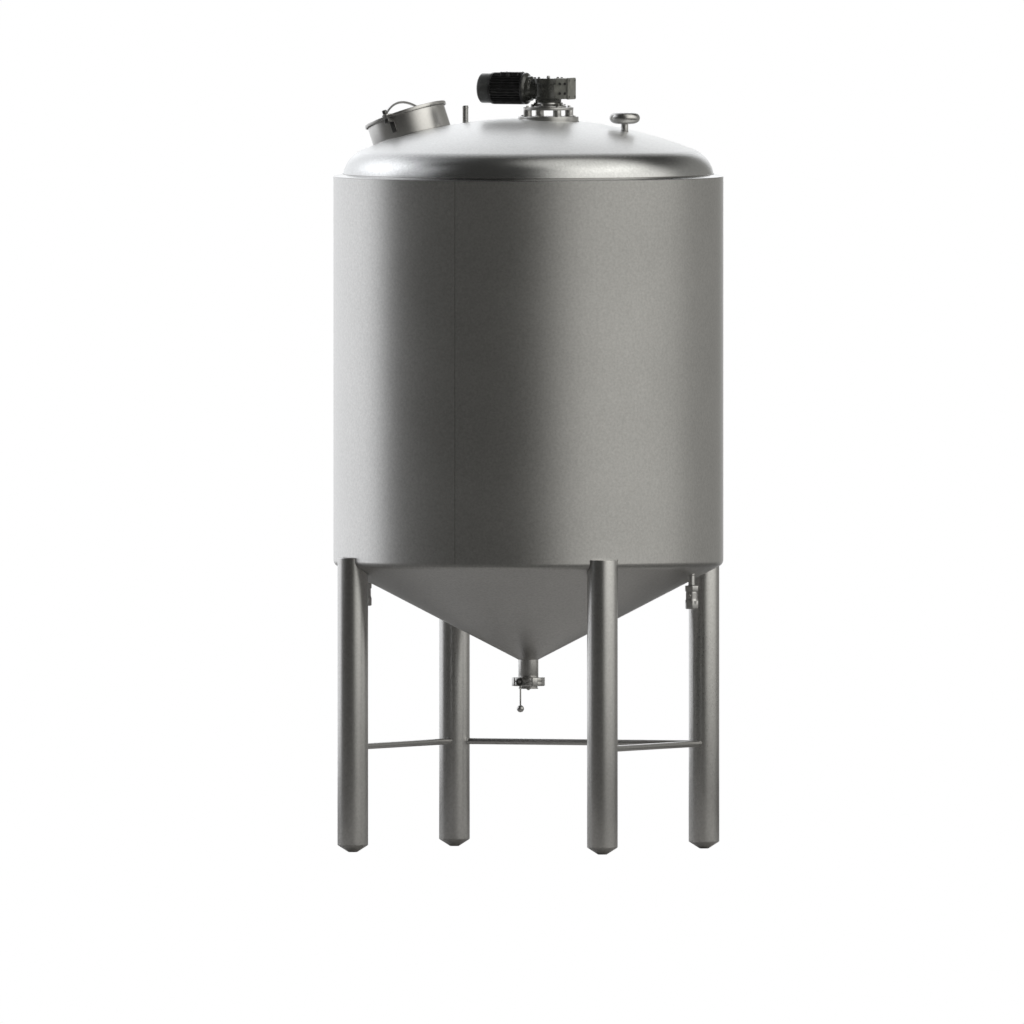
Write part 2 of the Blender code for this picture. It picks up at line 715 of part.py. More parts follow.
def make_head_fittings(steel):
    """A closed stub tube and a vent whose cap sits over its stem."""
    inside = dome_height(STUB_X) - FITTING_DEPTH
    bore = STUB_RADIUS - STUB_WALL
    stub = [
        (0.0, STUB_TOP),
        (STUB_RADIUS, STUB_TOP),
        (STUB_RADIUS, inside),
        (bore, inside),
        (bore, STUB_TOP - STUB_CAP),
        (0.0, STUB_TOP - STUB_CAP),
    ]
    frame = empty("stub_place", Matrix.Translation((STUB_X, 0.0, 0.0)))
    piece("stub_tube", turned(stub, FITTING_SIDES), steel, frame)

    frame = empty("vent_place", Matrix.Translation((VENT_X, 0.0, 0.0)))
    inside = dome_height(VENT_X) - FITTING_DEPTH
    stem_top = VENT_CAP_BOTTOM + VENT_STEM_REACH
    stem = tube(VENT_STEM_RADIUS, VENT_STEM_RADIUS - STUB_WALL, inside, stem_top, FITTING_SIDES)
    piece("vent_stem", stem, steel, frame)
    middle = (VENT_CAP_BOTTOM + VENT_CAP_TOP) / 2.0
    half = (VENT_CAP_TOP - VENT_CAP_BOTTOM) / 2.0
    bun = []
    for step in range(BUN_STEPS + 1):
        angle = math.radians(90.0 - 180.0 * step / BUN_STEPS)
        radius = VENT_CAP_RADIUS * max(math.cos(angle), 0.0) ** BUN_POWER
        bun.append((radius, middle + half * math.sin(angle)))
    bun[0] = (0.0, VENT_CAP_TOP)
    bun[-1] = (VENT_CAP_MOUTH, VENT_CAP_BOTTOM)
    socket = VENT_STEM_RADIUS + GAP
    bun += [(socket, VENT_CAP_BOTTOM), (socket, stem_top + GAP), (0.0, stem_top + GAP)]
    piece("vent_cap", turned(bun, PIPE_SIDES), steel, frame)


def make_outlet(steel, dark, pipe_top):
    """The drain pipe, its butterfly valve and the ferrule below."""
    bore = OUTLET_RADIUS - OUTLET_WALL
    piece("outlet_pipe", tube(OUTLET_RADIUS, bore, VALVE_TOP + GAP, pipe_top, PIPE_SIDES), steel)

    body = tube(VALVE_RADIUS, VALVE_BORE, VALVE_BOTTOM, VALVE_TOP, PIPE_SIDES)
    valve = piece("valve_body", body, steel)
    facing = along_front(0.0, VALVE_AXIS)
    boss = placed(cylinder(STEM_BOSS_RADIUS, -STEM_BOSS_START, -STEM_BOSS_END, FITTING_SIDES), facing)
    hole = placed(cylinder(STEM_BORE, -STEM_START, -LEVER_Y, FITTING_SIDES), facing)
    combine(valve, "UNION", tool("stem_boss_shape", boss))
    combine(valve, "DIFFERENCE", tool("stem_hole", hole))

    frame = empty("lever_pivot", Matrix.Translation((0.0, 0.0, VALVE_AXIS)))
    quarter = Matrix.Rotation(math.radians(90.0), 4, "Y")
    disc = cylinder(DISC_RADIUS, -DISC_HALF_THICKNESS, DISC_HALF_THICKNESS, PIPE_SIDES)
    flap = piece("valve_disc", placed(disc, quarter), steel, frame)
    hub_end = -LEVER_Y + HUB_HALF_LENGTH
    stem = cylinder(STEM_RADIUS, -STEM_START, hub_end + STEM_STICK_OUT, FITTING_SIDES)
    stem = placed(stem, along_front(0.0, 0.0))
    combine(flap, "UNION", tool("stem_shape", stem, frame))

    hub_start = -LEVER_Y - HUB_HALF_LENGTH
    hub = tube(HUB_RADIUS, STEM_RADIUS + GAP, hub_start, hub_end, FITTING_SIDES)
    lever = piece("valve_lever", placed(hub, along_front(0.0, 0.0)), dark, frame)
    rod = cylinder(LEVER_ROD, BALL_Z - VALVE_AXIS, -HUB_RADIUS + ROD_INSIDE_HUB, BRACE_SIDES)
    ball = bmesh.new()
    bmesh.ops.create_uvsphere(ball, u_segments=16, v_segments=10, radius=BALL_RADIUS)
    rod_tool = tool("lever_rod_shape", placed(rod, Matrix.Translation((0.0, LEVER_Y, 0.0))), frame)
    ball_place = Matrix.Translation((0.0, LEVER_Y, BALL_Z - VALVE_AXIS))
    combine(lever, "UNION", rod_tool, tool("lever_ball_shape", placed(ball, ball_place), frame))

    ferrule = tube(FERRULE_RADIUS, FERRULE_BORE, FERRULE_BOTTOM, VALVE_BOTTOM - GAP, PIPE_SIDES)
    piece("outlet_ferrule", ferrule, steel)


def make_jacket_fittings(steel):
    """A pipe with a capped two-nut union for the heating or cooling water, one on each side."""
    outline = [
        (0.0, JACKET_BORE_END),
        (JACKET_BORE, JACKET_BORE_END),
        (JACKET_BORE, JACKET_PIPE_TOP),
        (JACKET_PIPE_RADIUS, JACKET_PIPE_TOP),
        (JACKET_PIPE_RADIUS, JACKET_UNION_TOP),
        (UNION_RIM, JACKET_UNION_TOP),
        (UNION_RADIUS, JACKET_UNION_TOP - 0.008),
        (UNION_RADIUS, JACKET_UNION_TOP - 0.028),
        (UNION_WAIST, JACKET_UNION_TOP - 0.040),
        (UNION_WAIST, JACKET_UNION_TOP - 0.070),
        (UNION_RADIUS, JACKET_UNION_TOP - 0.082),
        (UNION_RADIUS, JACKET_UNION_BOTTOM + 0.006),
        (UNION_RIM, JACKET_UNION_BOTTOM),
        (0.0, JACKET_UNION_BOTTOM),
    ]
    for side, x in (("left", -JACKET_X), ("right", JACKET_X)):
        frame = empty(f"jacket_{side}_place", Matrix.Translation((x, 0.0, 0.0)))
        fitting = piece(f"jacket_fitting_{side}", turned(outline, FITTING_SIDES), steel, frame)
        boss = cylinder(UNION_BOSS_RADIUS, UNION_BOSS_START, UNION_BOSS_END, 12)
        boss = placed(boss, along_front(0.0, JACKET_UNION_TOP - UNION_BOSS_DROP))
        combine(fitting, "UNION", tool(f"jacket_{side}_boss_shape", boss, frame))


def make_cutters(manhole):
    """The rooms that one piece leaves for another, a clearance larger than the piece itself."""
    legs = []
    for _, x, y in leg_places():
        leg = cylinder(LEG_RADIUS + GAP, FOOT_HEIGHT, LEG_TOP + GAP, LEG_SIDES)
        legs.append(placed(leg, Matrix.Translation((x, y, 0.0))))
    pipes = []
    for x in (-JACKET_X, JACKET_X):
        pipe = cylinder(JACKET_PIPE_RADIUS + GAP, JACKET_UNION_TOP, JACKET_PIPE_TOP, FITTING_SIDES)
        pipes.append(placed(pipe, Matrix.Translation((x, 0.0, 0.0))))
    fittings = []
    for x, radius in ((STUB_X, STUB_RADIUS), (VENT_X, VENT_STEM_RADIUS)):
        hole = cylinder(radius + GAP, SHELL_TOP, STUB_TOP, FITTING_SIDES)
        fittings.append(placed(hole, Matrix.Translation((x, 0.0, 0.0))))
    return {
        "legs": tool("leg_rooms", merged(*legs)),
        "jacket_pipes": tool("jacket_pipe_holes", merged(*pipes)),
        "head_fittings": tool("head_fitting_holes", merged(*fittings)),
        "neck": tool("neck_room", cylinder(NECK_RADIUS + GAP, -0.300, 0.080, NECK_SIDES), manhole),
    }


def main():
    """Build the tank from the ground up."""
    for old in list(bpy.data.objects):
        bpy.data.objects.remove(old)
    satin = principled("satin_stainless", (0.56, 0.56, 0.54), 0.35, 1.0)
    bright = principled("bright_stainless", (0.72, 0.72, 0.72), 0.20, 1.0)
    blasted = principled("blasted_stainless", (0.62, 0.63, 0.63), 0.55, 1.0)
    cast = principled("cast_housing", (0.20, 0.20, 0.19), 0.45, 0.6)
    dark = principled("dark_paint", (0.03, 0.03, 0.03), 0.45, 0.0)
    grey = principled("grey_cover", (0.16, 0.17, 0.17), 0.45, 0.2)

    rim = Matrix.Translation((MANHOLE_X, 0.0, MANHOLE_Z)) @ Matrix.Rotation(-MANHOLE_TILT, 4, "Y")
    manhole = empty("manhole_rim", rim)
    drive = empty("drive_axis", Matrix.Translation((DRIVE_X, 0.0, 0.0)))
    cutters = make_cutters(manhole)
    make_legs(satin)
    make_braces(satin, cutters)
    make_support_ring(satin)
    pipe_top = make_vessel(blasted, cutters)
    make_cladding(satin, cutters)
    make_manhole(satin, dark, manhole, cutters)
    make_drive(bright, cast, dark, grey, drive)
    make_head_fittings(bright)
    make_outlet(bright, dark, pipe_top)
    make_jacket_fittings(bright)


main()
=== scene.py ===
# %% [markdown]
# # An insulated stainless steel tank, dressed for its picture
# The frame below is the engineer's model: every plate, pipe and hinge at its real size, but in flat facets.
# This lesson keeps each part where the frame puts it and gives it a smooth skin, its small fittings and its
# metal.

# %% Load the frame
import json
import math

import bmesh
import bpy
import numpy as np
from mathutils import Matrix, Vector


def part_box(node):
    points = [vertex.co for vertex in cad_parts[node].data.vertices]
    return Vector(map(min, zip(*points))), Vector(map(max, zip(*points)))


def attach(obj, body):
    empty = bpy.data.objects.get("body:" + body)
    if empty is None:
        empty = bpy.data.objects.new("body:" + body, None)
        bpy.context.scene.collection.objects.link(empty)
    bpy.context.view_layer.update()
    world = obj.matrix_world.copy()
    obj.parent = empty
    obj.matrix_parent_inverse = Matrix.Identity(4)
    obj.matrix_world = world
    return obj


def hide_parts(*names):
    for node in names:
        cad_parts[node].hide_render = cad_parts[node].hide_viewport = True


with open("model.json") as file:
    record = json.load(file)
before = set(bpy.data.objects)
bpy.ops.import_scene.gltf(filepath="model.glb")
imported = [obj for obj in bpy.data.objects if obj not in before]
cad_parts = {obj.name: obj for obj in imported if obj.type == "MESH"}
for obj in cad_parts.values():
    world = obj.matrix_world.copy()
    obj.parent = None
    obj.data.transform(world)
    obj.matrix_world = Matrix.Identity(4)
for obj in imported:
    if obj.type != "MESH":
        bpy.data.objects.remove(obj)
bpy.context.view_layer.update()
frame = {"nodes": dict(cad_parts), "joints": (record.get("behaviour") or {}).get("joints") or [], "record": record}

nodes = frame["nodes"]

# %% [markdown]
# ## The camera
# The photograph was taken from far away with a long lens, so upright edges stay upright and nothing shrinks
# with distance. An orthographic camera does the same. It looks at the tank's front from a little to the
# right, from 1.4 degrees above the level, and one picture pixel is 5.385 mm on the tank.

# %% Camera
PICTURE_SIDE = 1024
PIXEL = 0.005385
VIEW_TURN = math.radians(22.15)
VIEW_RISE = math.radians(1.4)
AIM_OFFSET = -0.0883
AIM_HEIGHT = 1.822
CAMERA_DISTANCE = 12.0


def toward(turn, rise=0.0):
    """The unit direction at an angle right of the camera's side and an angle above the level."""
    bearing = VIEW_TURN + turn
    level = math.cos(rise)
    return Vector((math.sin(bearing) * level, -math.cos(bearing) * level, math.sin(rise)))


camera_data = bpy.data.cameras.new("camera")
camera_data.type = "ORTHO"
camera_data.ortho_scale = PICTURE_SIDE * PIXEL
camera_data.clip_end = 100.0
camera = bpy.data.objects.new("camera", camera_data)
aim = Vector((AIM_OFFSET * math.cos(VIEW_TURN), AIM_OFFSET * math.sin(VIEW_TURN), AIM_HEIGHT))
camera.location = aim + CAMERA_DISTANCE * toward(0.0, VIEW_RISE)
camera.rotation_euler = (math.radians(90.0) - VIEW_RISE, 0.0, VIEW_TURN)
bpy.context.scene.collection.objects.link(camera)
bpy.context.scene.camera = camera
print("camera sees", round(camera_data.ortho_scale, 3), "m")

# %% [markdown]
# ## Shader maths as plain arithmetic
# A finish is a sum of patterns: grain, cloud, streak. Wrapping a node's socket in a small class lets us
# write that sum as an expression, and each operator adds the Math node it stands for.

# %% Finishes as expressions


class Value:
    """A number that varies over a surface; +, - and * add Math nodes to its finish."""

    def __init__(self, finish, socket):
        self.finish = finish
        self.socket = socket

    def __add__(self, other):
        return self.finish.math("ADD", self, other)

    def __radd__(self, other):
        return self.finish.math("ADD", other, self)

    def __sub__(self, other):
        return self.finish.math("SUBTRACT", self, other)

    def __rsub__(self, other):
        return self.finish.math("SUBTRACT", other, self)

    def __mul__(self, other):
        return self.finish.math("MULTIPLY", self, other)

    def __rmul__(self, other):
        return self.finish.math("MULTIPLY", other, self)


print("values take + - and *, on either side of a number")

# %% [markdown]
# Every other node comes from one method. It takes the node's type, its settings, and a value or a link for
# each socket, so a noise or a mix is one call. Short methods name the calls that come up again and again.

# %% Nodes by name


class Finish:
    """A material, or the world, built node by node."""

    def __init__(self, tree):
        self.tree = tree
        self.tree.nodes.clear()

    def node(self, kind, settings=None, output=0, **sockets):
        """Add a node: first its settings, then a value or a link for each named socket."""
        made = self.tree.nodes.new(kind)
        for name, value in (settings or {}).items():
            setattr(made, name, value)
        for name, value in sockets.items():
            socket = self.find(made, name)
            if isinstance(value, Value):
                self.tree.links.new(value.socket, socket)
            else:
                socket.default_value = value
        return Value(self, made.outputs[output]) if made.outputs else None

    def find(self, made, name):
        """The input called name, or by number as _0, _1 where a node's inputs share a name."""
        if name.startswith("_"):
            return made.inputs[int(name[1:])]
        return made.inputs[name.replace("_", " ")]

    def math(self, operation, first, second):
        """One Math node."""
        return self.node("ShaderNodeMath", {"operation": operation}, _0=first, _1=second)

    def step(self, value, low, high, into_low=0.0, into_high=1.0):
        """A smooth step of a value between two edges."""
        return self.node(
            "ShaderNodeMapRange",
            {"interpolation_type": "SMOOTHSTEP"},
            Value=value,
            From_Min=low,
            From_Max=high,
            To_Min=into_low,
            To_Max=into_high,
        )

    def place(self, stretch=(1.0, 1.0, 1.0)):
        """Object coordinates in metres, stretched along the three axes."""
        here = self.node("ShaderNodeTexCoord", output=3)
        return self.node("ShaderNodeMapping", Vector=here, Scale=stretch)

    def noise(self, where, scale, detail=2.0, rough=0.5):
        """Cloudy noise, about 0.5 on average."""
        return self.node("ShaderNodeTexNoise", Vector=where, Scale=scale, Detail=detail, Roughness=rough)

    def blend(self, share, first, second):
        """A colour between two colours."""
        return self.node("ShaderNodeMix", {"data_type": "RGBA"}, output=2, _0=share, _6=first, _7=second)


print("one method makes a node:", Finish.node.__doc__)

# %% [markdown]
# A finish starts as an empty node tree and ends in a Principled shader. In between, its colour, its
# roughness and its slope are worked out as values. Bare steel is grey with a trace of warmth, so greys get
# a short name.

# %% Start and end of a finish


def new_finish(name):
    """A material with an empty node tree."""
    material = bpy.data.materials.new(name)
    material.use_nodes = True
    return material, Finish(material.node_tree)


def close_finish(finish, colour, roughness, metallic=1.0, normal=None, coat=0.0):
    """The Principled shader that ends every finish."""
    sockets = {"Base_Color": colour, "Roughness": roughness, "Metallic": metallic, "Coat_Weight": coat}
    if normal:
        sockets["Normal"] = normal
    shader = finish.node("ShaderNodeBsdfPrincipled", **sockets)
    finish.node("ShaderNodeOutputMaterial", Surface=shader)


def grey(level, warm=0.0):
    """A grey colour, warmer above 0 and cooler below."""
    return (level * (1.0 + warm), level, level * (1.0 - warm), 1.0)


print("a warm grey:", grey(0.5, 0.01))

# %% [markdown]
# ## Stainless steel
# The sheets are bead blasted: a matt metal with a fine pebble grain and faint clouds. Tubes are ground
# along or round their length, which shows as thin streaks. Both are one recipe with another stretch of its
# noise. The grain changes the colour a little, the roughness more, and the surface's slope most. The head's
# crown is blasted harder than its turned knuckle, so there the metal scatters light where the knuckle
# mirrors it. Its lighter grey is partly that harder blasting and partly painted light for the lit top.

# %% Steel
CROWN_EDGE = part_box("head_crown_front")[0].z
FADE_BELOW = 0.030
FADE_ABOVE = 0.010
CROWN_ROUGHER = 0.12
CROWN_SCATTER = 0.45
CLOUDS_PER_METRE = 2.2
MOTTLE_PER_METRE = 75.0
FINE_TONE = 0.55
MOTTLE_TONE = 0.80
CLOUD_TONE = 0.36
FINE_GLOSS = 0.12
CLOUD_GLOSS = 0.06
BUMP_DEPTH = 0.0006


def flecked(f, share, level, speck, warm):
    """A grey that the grain's share moves between level less speck and level plus speck."""
    return f.blend(share, grey(level * (1.0 - speck), warm), grey(level * (1.0 + speck), warm))


def steel(name, level, rough, grain, bump, stretch=(1.0, 1.0, 1.0), warm=0.01, speck=0.10, crown=None):
    """Matt metal of a grey level: grain is the noise's scale per metre, and stretch makes it a streak.

    warm tints the grey, and speck is how far the grain colours it. Where crown gives a second level, the
    metal above CROWN_EDGE has that level, is rougher, and scatters a part of the light.
    """
    material, f = new_finish(name)
    fine = f.noise(f.place(stretch), grain, 3.0, 0.6)
    broad = f.noise(f.place(), CLOUDS_PER_METRE, 3.0)
    mottle = f.noise(f.place(), MOTTLE_PER_METRE)
    share = 0.5 + (fine - 0.5) * FINE_TONE + (mottle - 0.5) * MOTTLE_TONE + (broad - 0.5) * CLOUD_TONE
    colour = flecked(f, share, level, speck, warm)
    metallic = 1.0
    if crown:
        height = f.node("ShaderNodeSeparateXYZ", output=2, Vector=f.place())
        on_top = f.step(height, CROWN_EDGE - FADE_BELOW, CROWN_EDGE + FADE_ABOVE)
        rough = rough + on_top * CROWN_ROUGHER
        metallic = 1.0 - on_top * CROWN_SCATTER
        # above CROWN_EDGE the grey moves to the crown level, which for the head is partly painted light on its lit
        # top
        colour = f.blend(on_top, colour, flecked(f, share, crown, speck, warm))
    roughness = rough + (fine - 0.5) * FINE_GLOSS + (broad - 0.5) * CLOUD_GLOSS
    normal = f.node("ShaderNodeBump", Strength=bump, Distance=BUMP_DEPTH, Height=fine + mottle * 0.35)
    close_finish(f, colour, roughness, metallic, normal)
    return material


CLADDING = steel("cladding_steel", 0.60, 0.34, grain=210.0, bump=0.20, speck=0.24)
# the crown's 0.85 grey against the knuckle's 0.64 is partly harder blasting and partly painted light for the
# brightly lit top
BLASTED = steel("blasted_steel", 0.64, 0.24, grain=190.0, bump=0.18, warm=-0.005, speck=0.17, crown=0.85)
LEG = steel("leg_steel", 0.57, 0.30, grain=240.0, bump=0.14, stretch=(1.0, 1.0, 0.35), speck=0.20)
NECK = steel("neck_steel", 0.68, 0.34, grain=600.0, bump=0.03, warm=0.015)
BRIGHT = steel("bright_steel", 0.60, 0.27, grain=700.0, bump=0.03)
DARK = steel("dark_steel", 0.16, 0.38, grain=500.0, bump=0.08)
# the top ring's steel is darker, 0.35 against about 0.6: painted shade for the dark band between the head and the
# cladding
RING_PAINTED_SHADE = steel("top_ring_steel_painted_shade", 0.35, 0.18, grain=500.0, bump=0.03)
INSIDE = steel("inside_steel", 0.55, 0.30, grain=300.0, bump=0.06)
BEAD = steel("weld_bead", 0.48, 0.34, grain=300.0, bump=0.25)
print("steels:", ", ".join(m.name for m in bpy.data.materials if "steel" in m.name))

# %% [markdown]
# ## Paint on castings
# The motor and the gearbox are cast iron under enamel. Sand casting leaves a soft orange-peel, and dust
# lies in it, so the roughness is patchy and the colour goes a shade lighter where the enamel is thin.

# %% Enamel
PATCHES_PER_METRE = 28.0
PEEL_PER_METRE = 160.0
WORN_FROM = 0.46
WORN_FULLY = 0.68


def enamel(name, colour, worn, rough=0.38, bump=0.25, coat=0.15):
    """Enamel: colour under most of it, and the worn colour where the paint is thin or dusty."""
    material, f = new_finish(name)
    patches = f.noise(f.place(), PATCHES_PER_METRE, 4.0, 0.6)
    peel = f.noise(f.place(), PEEL_PER_METRE)
    share = f.step(patches, WORN_FROM, WORN_FULLY)
    shade = f.blend(share, (*colour, 1.0), (*worn, 1.0))
    roughness = rough + share * 0.18 + (peel - 0.5) * 0.10
    normal = f.node("ShaderNodeBump", Strength=bump, Distance=BUMP_DEPTH, Height=peel + patches * 0.4)
    close_finish(f, shade, roughness, 0.0, normal, coat)
    return material


MOTOR = enamel("motor_enamel", (0.022, 0.022, 0.023), (0.055, 0.055, 0.056), rough=0.32, coat=0.3)
GEARBOX = enamel(
    "gearbox_enamel", (0.048, 0.049, 0.044), (0.095, 0.095, 0.086), rough=0.24, bump=0.10, coat=0.7
)
# the block's enamel is paler than the drum and than the cover plate; the extra over the cover plate is painted
# light for its dimly lit front face
BLOCK_PAINTED_LIGHT = enamel("block_enamel_painted_light", (0.36, 0.36, 0.33), (0.48, 0.48, 0.44), rough=0.34)
PALE_CAST = enamel("pale_cast_enamel", (0.225, 0.225, 0.205), (0.31, 0.31, 0.285))
FAN_COVER = enamel("fan_cover_enamel", (0.080, 0.083, 0.083), (0.120, 0.124, 0.124), rough=0.30, coat=0.3)
print("enamels:", ", ".join(m.name for m in bpy.data.materials if "enamel" in m.name))

# %% [markdown]
# ## Shapes as arrays
# A shape here is a pair of arrays: points, and faces of four point numbers. Almost everything on a tank is
# a profile turned about an axis or carried along a path, so two functions of two parameters make nearly all
# of it.

# %% Skin and profiles


def round_angles(count):
    """Angles spaced evenly round a circle."""
    return np.linspace(0.0, 2.0 * math.pi, count, endpoint=False)


def polar(radius, angle, height):
    """Points x = r cos a, y = r sin a, z = h, for whole arrays at once."""
    return np.stack(np.broadcast_arrays(radius * np.cos(angle), radius * np.sin(angle), height), -1)


def skin(grid, around=True, closed=False):
    """Faces over a grid of points; face (r, c) joins rows r, r+1 and columns c, c+1, wrapped if asked."""
    rows, columns = grid.shape[:2]
    number = np.arange(rows * columns).reshape(rows, columns)
    if around:
        number = np.concatenate([number, number[:, :1]], 1)
    if closed:
        number = np.concatenate([number, number[:1]], 0)
    corners = (number[:-1, :-1], number[1:, :-1], number[1:, 1:], number[:-1, 1:])
    return grid.reshape(-1, 3), np.stack(corners, -1).reshape(-1, 4)


def rounded(corners, steps=5, closed=False):
    """A line of (across, up, radius) corners; each corner is the arc that touches both its sides.

    With u and v the directions to the two neighbours and w half the angle between them, the arc's centre is
    radius / sin w from the corner along u + v, and its ends are radius / tan w along u and v.
    """
    table = np.asarray(corners, float)
    here, radius = table[:, :2], table[:, 2:]
    before, after = np.roll(here, 1, 0), np.roll(here, -1, 0)
    if not closed:
        before[0], after[-1] = 2.0 * here[0] - here[1], 2.0 * here[-1] - here[-2]
    u = (before - here) / np.linalg.norm(before - here, axis=1, keepdims=True)
    v = (after - here) / np.linalg.norm(after - here, axis=1, keepdims=True)
    half = np.arccos(np.clip((u * v).sum(1, keepdims=True), -1.0, 1.0)) / 2.0
    half = np.minimum(half, math.radians(89.9))
    middle = u + v
    middle /= np.maximum(np.linalg.norm(middle, axis=1, keepdims=True), 1e-12)
    centre = here + middle * radius / np.sin(half)
    first = here + u * radius / np.tan(half) - centre
    last = here + v * radius / np.tan(half) - centre
    sweep = math.pi - 2.0 * half
    share = np.linspace(0.0, 1.0, steps + 1)[None, :, None]
    sweep = sweep[:, None, :]
    arc = np.sin((1.0 - share) * sweep) * first[:, None] + np.sin(share * sweep) * last[:, None]
    line = (centre[:, None] + arc / np.sin(sweep)).reshape(-1, 2)
    apart = np.linalg.norm(np.diff(line, axis=0), axis=1) > 1e-6
    return line[np.concatenate([[True], apart])]


def turned(line, sides=96):
    """A profile of (radius, height) turned about Z; one that starts off the axis closes on itself."""
    on_axis = line[0, 0] < 1e-9 and line[-1, 0] < 1e-9
    return skin(polar(line[:, :1], round_angles(sides), line[:, 1:]), closed=not on_axis)


print("a can has", len(turned(rounded([(0, 1, 0), (1, 1, 0.1), (1, 0, 0.1), (0, 0, 0)]))[1]), "faces")

# %% [markdown]
# A rod and a weld bead are both a circle carried along a path. The rod runs between two ends and is closed
# by a point at each; the bead runs round, and its radius swells and sinks as a weld pool's ripples do.

# %% Rods and beads

def tube(path, radius, sides=16):
    """A round rod along a path: at each point p + r (n cos a + b sin a), with a middle point at each end.

    n is the X direction made square to the path, which never runs along X, and b is their cross product.
    """
    ahead = np.gradient(path, axis=0)
    ahead /= np.linalg.norm(ahead, axis=1, keepdims=True)
    n = np.array([1.0, 0.0, 0.0]) - ahead * ahead[:, :1]
    n /= np.linalg.norm(n, axis=1, keepdims=True)
    b = np.cross(ahead, n)
    angle = round_angles(sides)[None, :, None]
    ring = path[:, None] + radius * (n[:, None] * np.cos(angle) + b[:, None] * np.sin(angle))
    caps = [np.repeat(path[end][None, None], sides, 1) for end in (0, -1)]
    return skin(np.concatenate([caps[0], ring, caps[1]], 0))


def bead(path, radius, sides=8):
    """A weld bead: a small round section carried round a closed path, with the ripples of the weld pool."""
    ahead = np.roll(path, -1, 0) - np.roll(path, 1, 0)
    ahead /= np.linalg.norm(ahead, axis=1, keepdims=True)
    up = np.array([0.0, 0.0, 1.0]) - ahead * ahead[:, 2:]
    up /= np.linalg.norm(up, axis=1, keepdims=True)
    side = np.cross(ahead, up)
    ripple = 1.0 + 0.10 * np.sin(np.arange(len(path)) * 1.9)[:, None, None]
    angle = round_angles(sides)[None, :, None]
    ring = path[:, None] + radius * ripple * (side[:, None] * np.cos(angle) + up[:, None] * np.sin(angle))
    return skin(ring, closed=True)


print("a bead round a metre circle has", len(bead(polar(1.0, round_angles(90), 0.0), 0.003)[0]), "points")

# %% [markdown]
# Plates, lugs and nuts are flat outlines given a thickness. Sawn or cast edges are never knife sharp, so
# the outline is drawn in a little towards both faces along a quarter of a circle.

# %% Plates


def slab(outline, low, high, edge=0.002, steps=3):
    """A flat outline of (x, y), given thickness along Z, with rounded edges.

    Each row is the outline drawn in by edge (1 - sin t) at height low + edge (1 - cos t), and the same above.
    """
    ahead = np.roll(outline, -1, 0) - np.roll(outline, 1, 0)
    ahead /= np.linalg.norm(ahead, axis=1, keepdims=True)
    inward = np.stack([-ahead[:, 1], ahead[:, 0]], 1)
    t = np.linspace(0.0, math.pi / 2.0, steps + 1)
    draw = edge * (1.0 - np.sin(t))
    lift = edge * (1.0 - np.cos(t))
    draws = np.concatenate([draw, draw[::-1]])
    heights = np.concatenate([low + lift, high - lift[::-1]])
    flat = outline[None] + inward[None] * draws[:, None, None]
    grid = np.concatenate([flat, np.broadcast_to(heights[:, None, None], (*flat.shape[:2], 1))], -1)
    middle = outline.mean(0)
    caps = [np.broadcast_to([*middle, z], (1, len(outline), 3)) for z in (low, high)]
    return skin(np.concatenate([caps[0], grid, caps[1]], 0))


def oblong(width, depth, radius, steps=4):
    """A rectangle with round corners, about the origin, turned anticlockwise."""
    x, y = width / 2.0, depth / 2.0
    return rounded([(x, -y, radius), (x, y, radius), (-x, y, radius), (-x, -y, radius)], steps, closed=True)


print("an oblong has", len(oblong(0.2, 0.1, 0.01)), "points")

# %% [markdown]
# Every shape is made upright at the origin and then carried to its place by a matrix. Copies of one shape
# are joined into one, which keeps a ring of bolts a single piece.

# %% Places


def moved(shape, place):
    """A shape carried by a 4 by 4 matrix."""
    matrix = np.array(place)
    return shape[0] @ matrix[:3, :3].T + matrix[:3, 3], shape[1]


def joined(*shapes):
    """Several shapes as one pair of arrays."""
    offsets = np.cumsum([0] + [len(points) for points, _ in shapes[:-1]])
    faces = [numbers + offset for (_, numbers), offset in zip(shapes, offsets)]
    return np.concatenate([points for points, _ in shapes]), np.concatenate(faces)


def copies(shape, places):
    """The same shape at every place."""
    return joined(*[moved(shape, place) for place in places])


def at(x=0.0, y=0.0, z=0.0):
    """A place."""
    return Matrix.Translation((x, y, z))


def turn(degrees, axis):
    """A turn about an axis through the origin."""
    return Matrix.Rotation(math.radians(degrees), 4, axis)


def ring_of(count, radius, z=0.0, first=0.0):
    """Places spaced evenly on a circle, each facing outwards."""
    return [turn(first + 360.0 * step / count, "Z") @ at(radius, 0.0, z) for step in range(count)]


print("a ring of four starts at", tuple(round(x, 3) for x in ring_of(4, 0.1)[0].translation))

# %% [markdown]
# ## From arrays to pieces
# One function ends every piece: it fills a mesh from the arrays, closes its poles and seams, turns its
# faces outwards, gives it a finish, and says which body it rides on and which plain node it stands for.

# %% Piece maker
MERGE = 2e-6
SHARP = 32.0
fresh = []


def filled(name, shape):
    """A mesh from a shape's arrays, its poles and seams closed and its faces turned outwards."""
    points, faces = shape
    mesh = bpy.data.meshes.new(name)
    mesh.vertices.add(len(points))
    mesh.vertices.foreach_set("co", points.astype(np.float32).ravel())
    mesh.loops.add(faces.size)
    mesh.loops.foreach_set("vertex_index", faces.astype(np.int32).ravel())
    mesh.polygons.add(len(faces))
    mesh.polygons.foreach_set("loop_start", np.arange(0, faces.size, 4, dtype=np.int32))
    mesh.update(calc_edges=True)
    work = bmesh.new()
    work.from_mesh(mesh)
    bmesh.ops.remove_doubles(work, verts=work.verts, dist=MERGE)
    bmesh.ops.dissolve_degenerate(work, edges=work.edges, dist=MERGE / 20.0)
    bmesh.ops.recalc_face_normals(work, faces=work.faces)
    work.to_mesh(mesh)
    work.free()
    return mesh


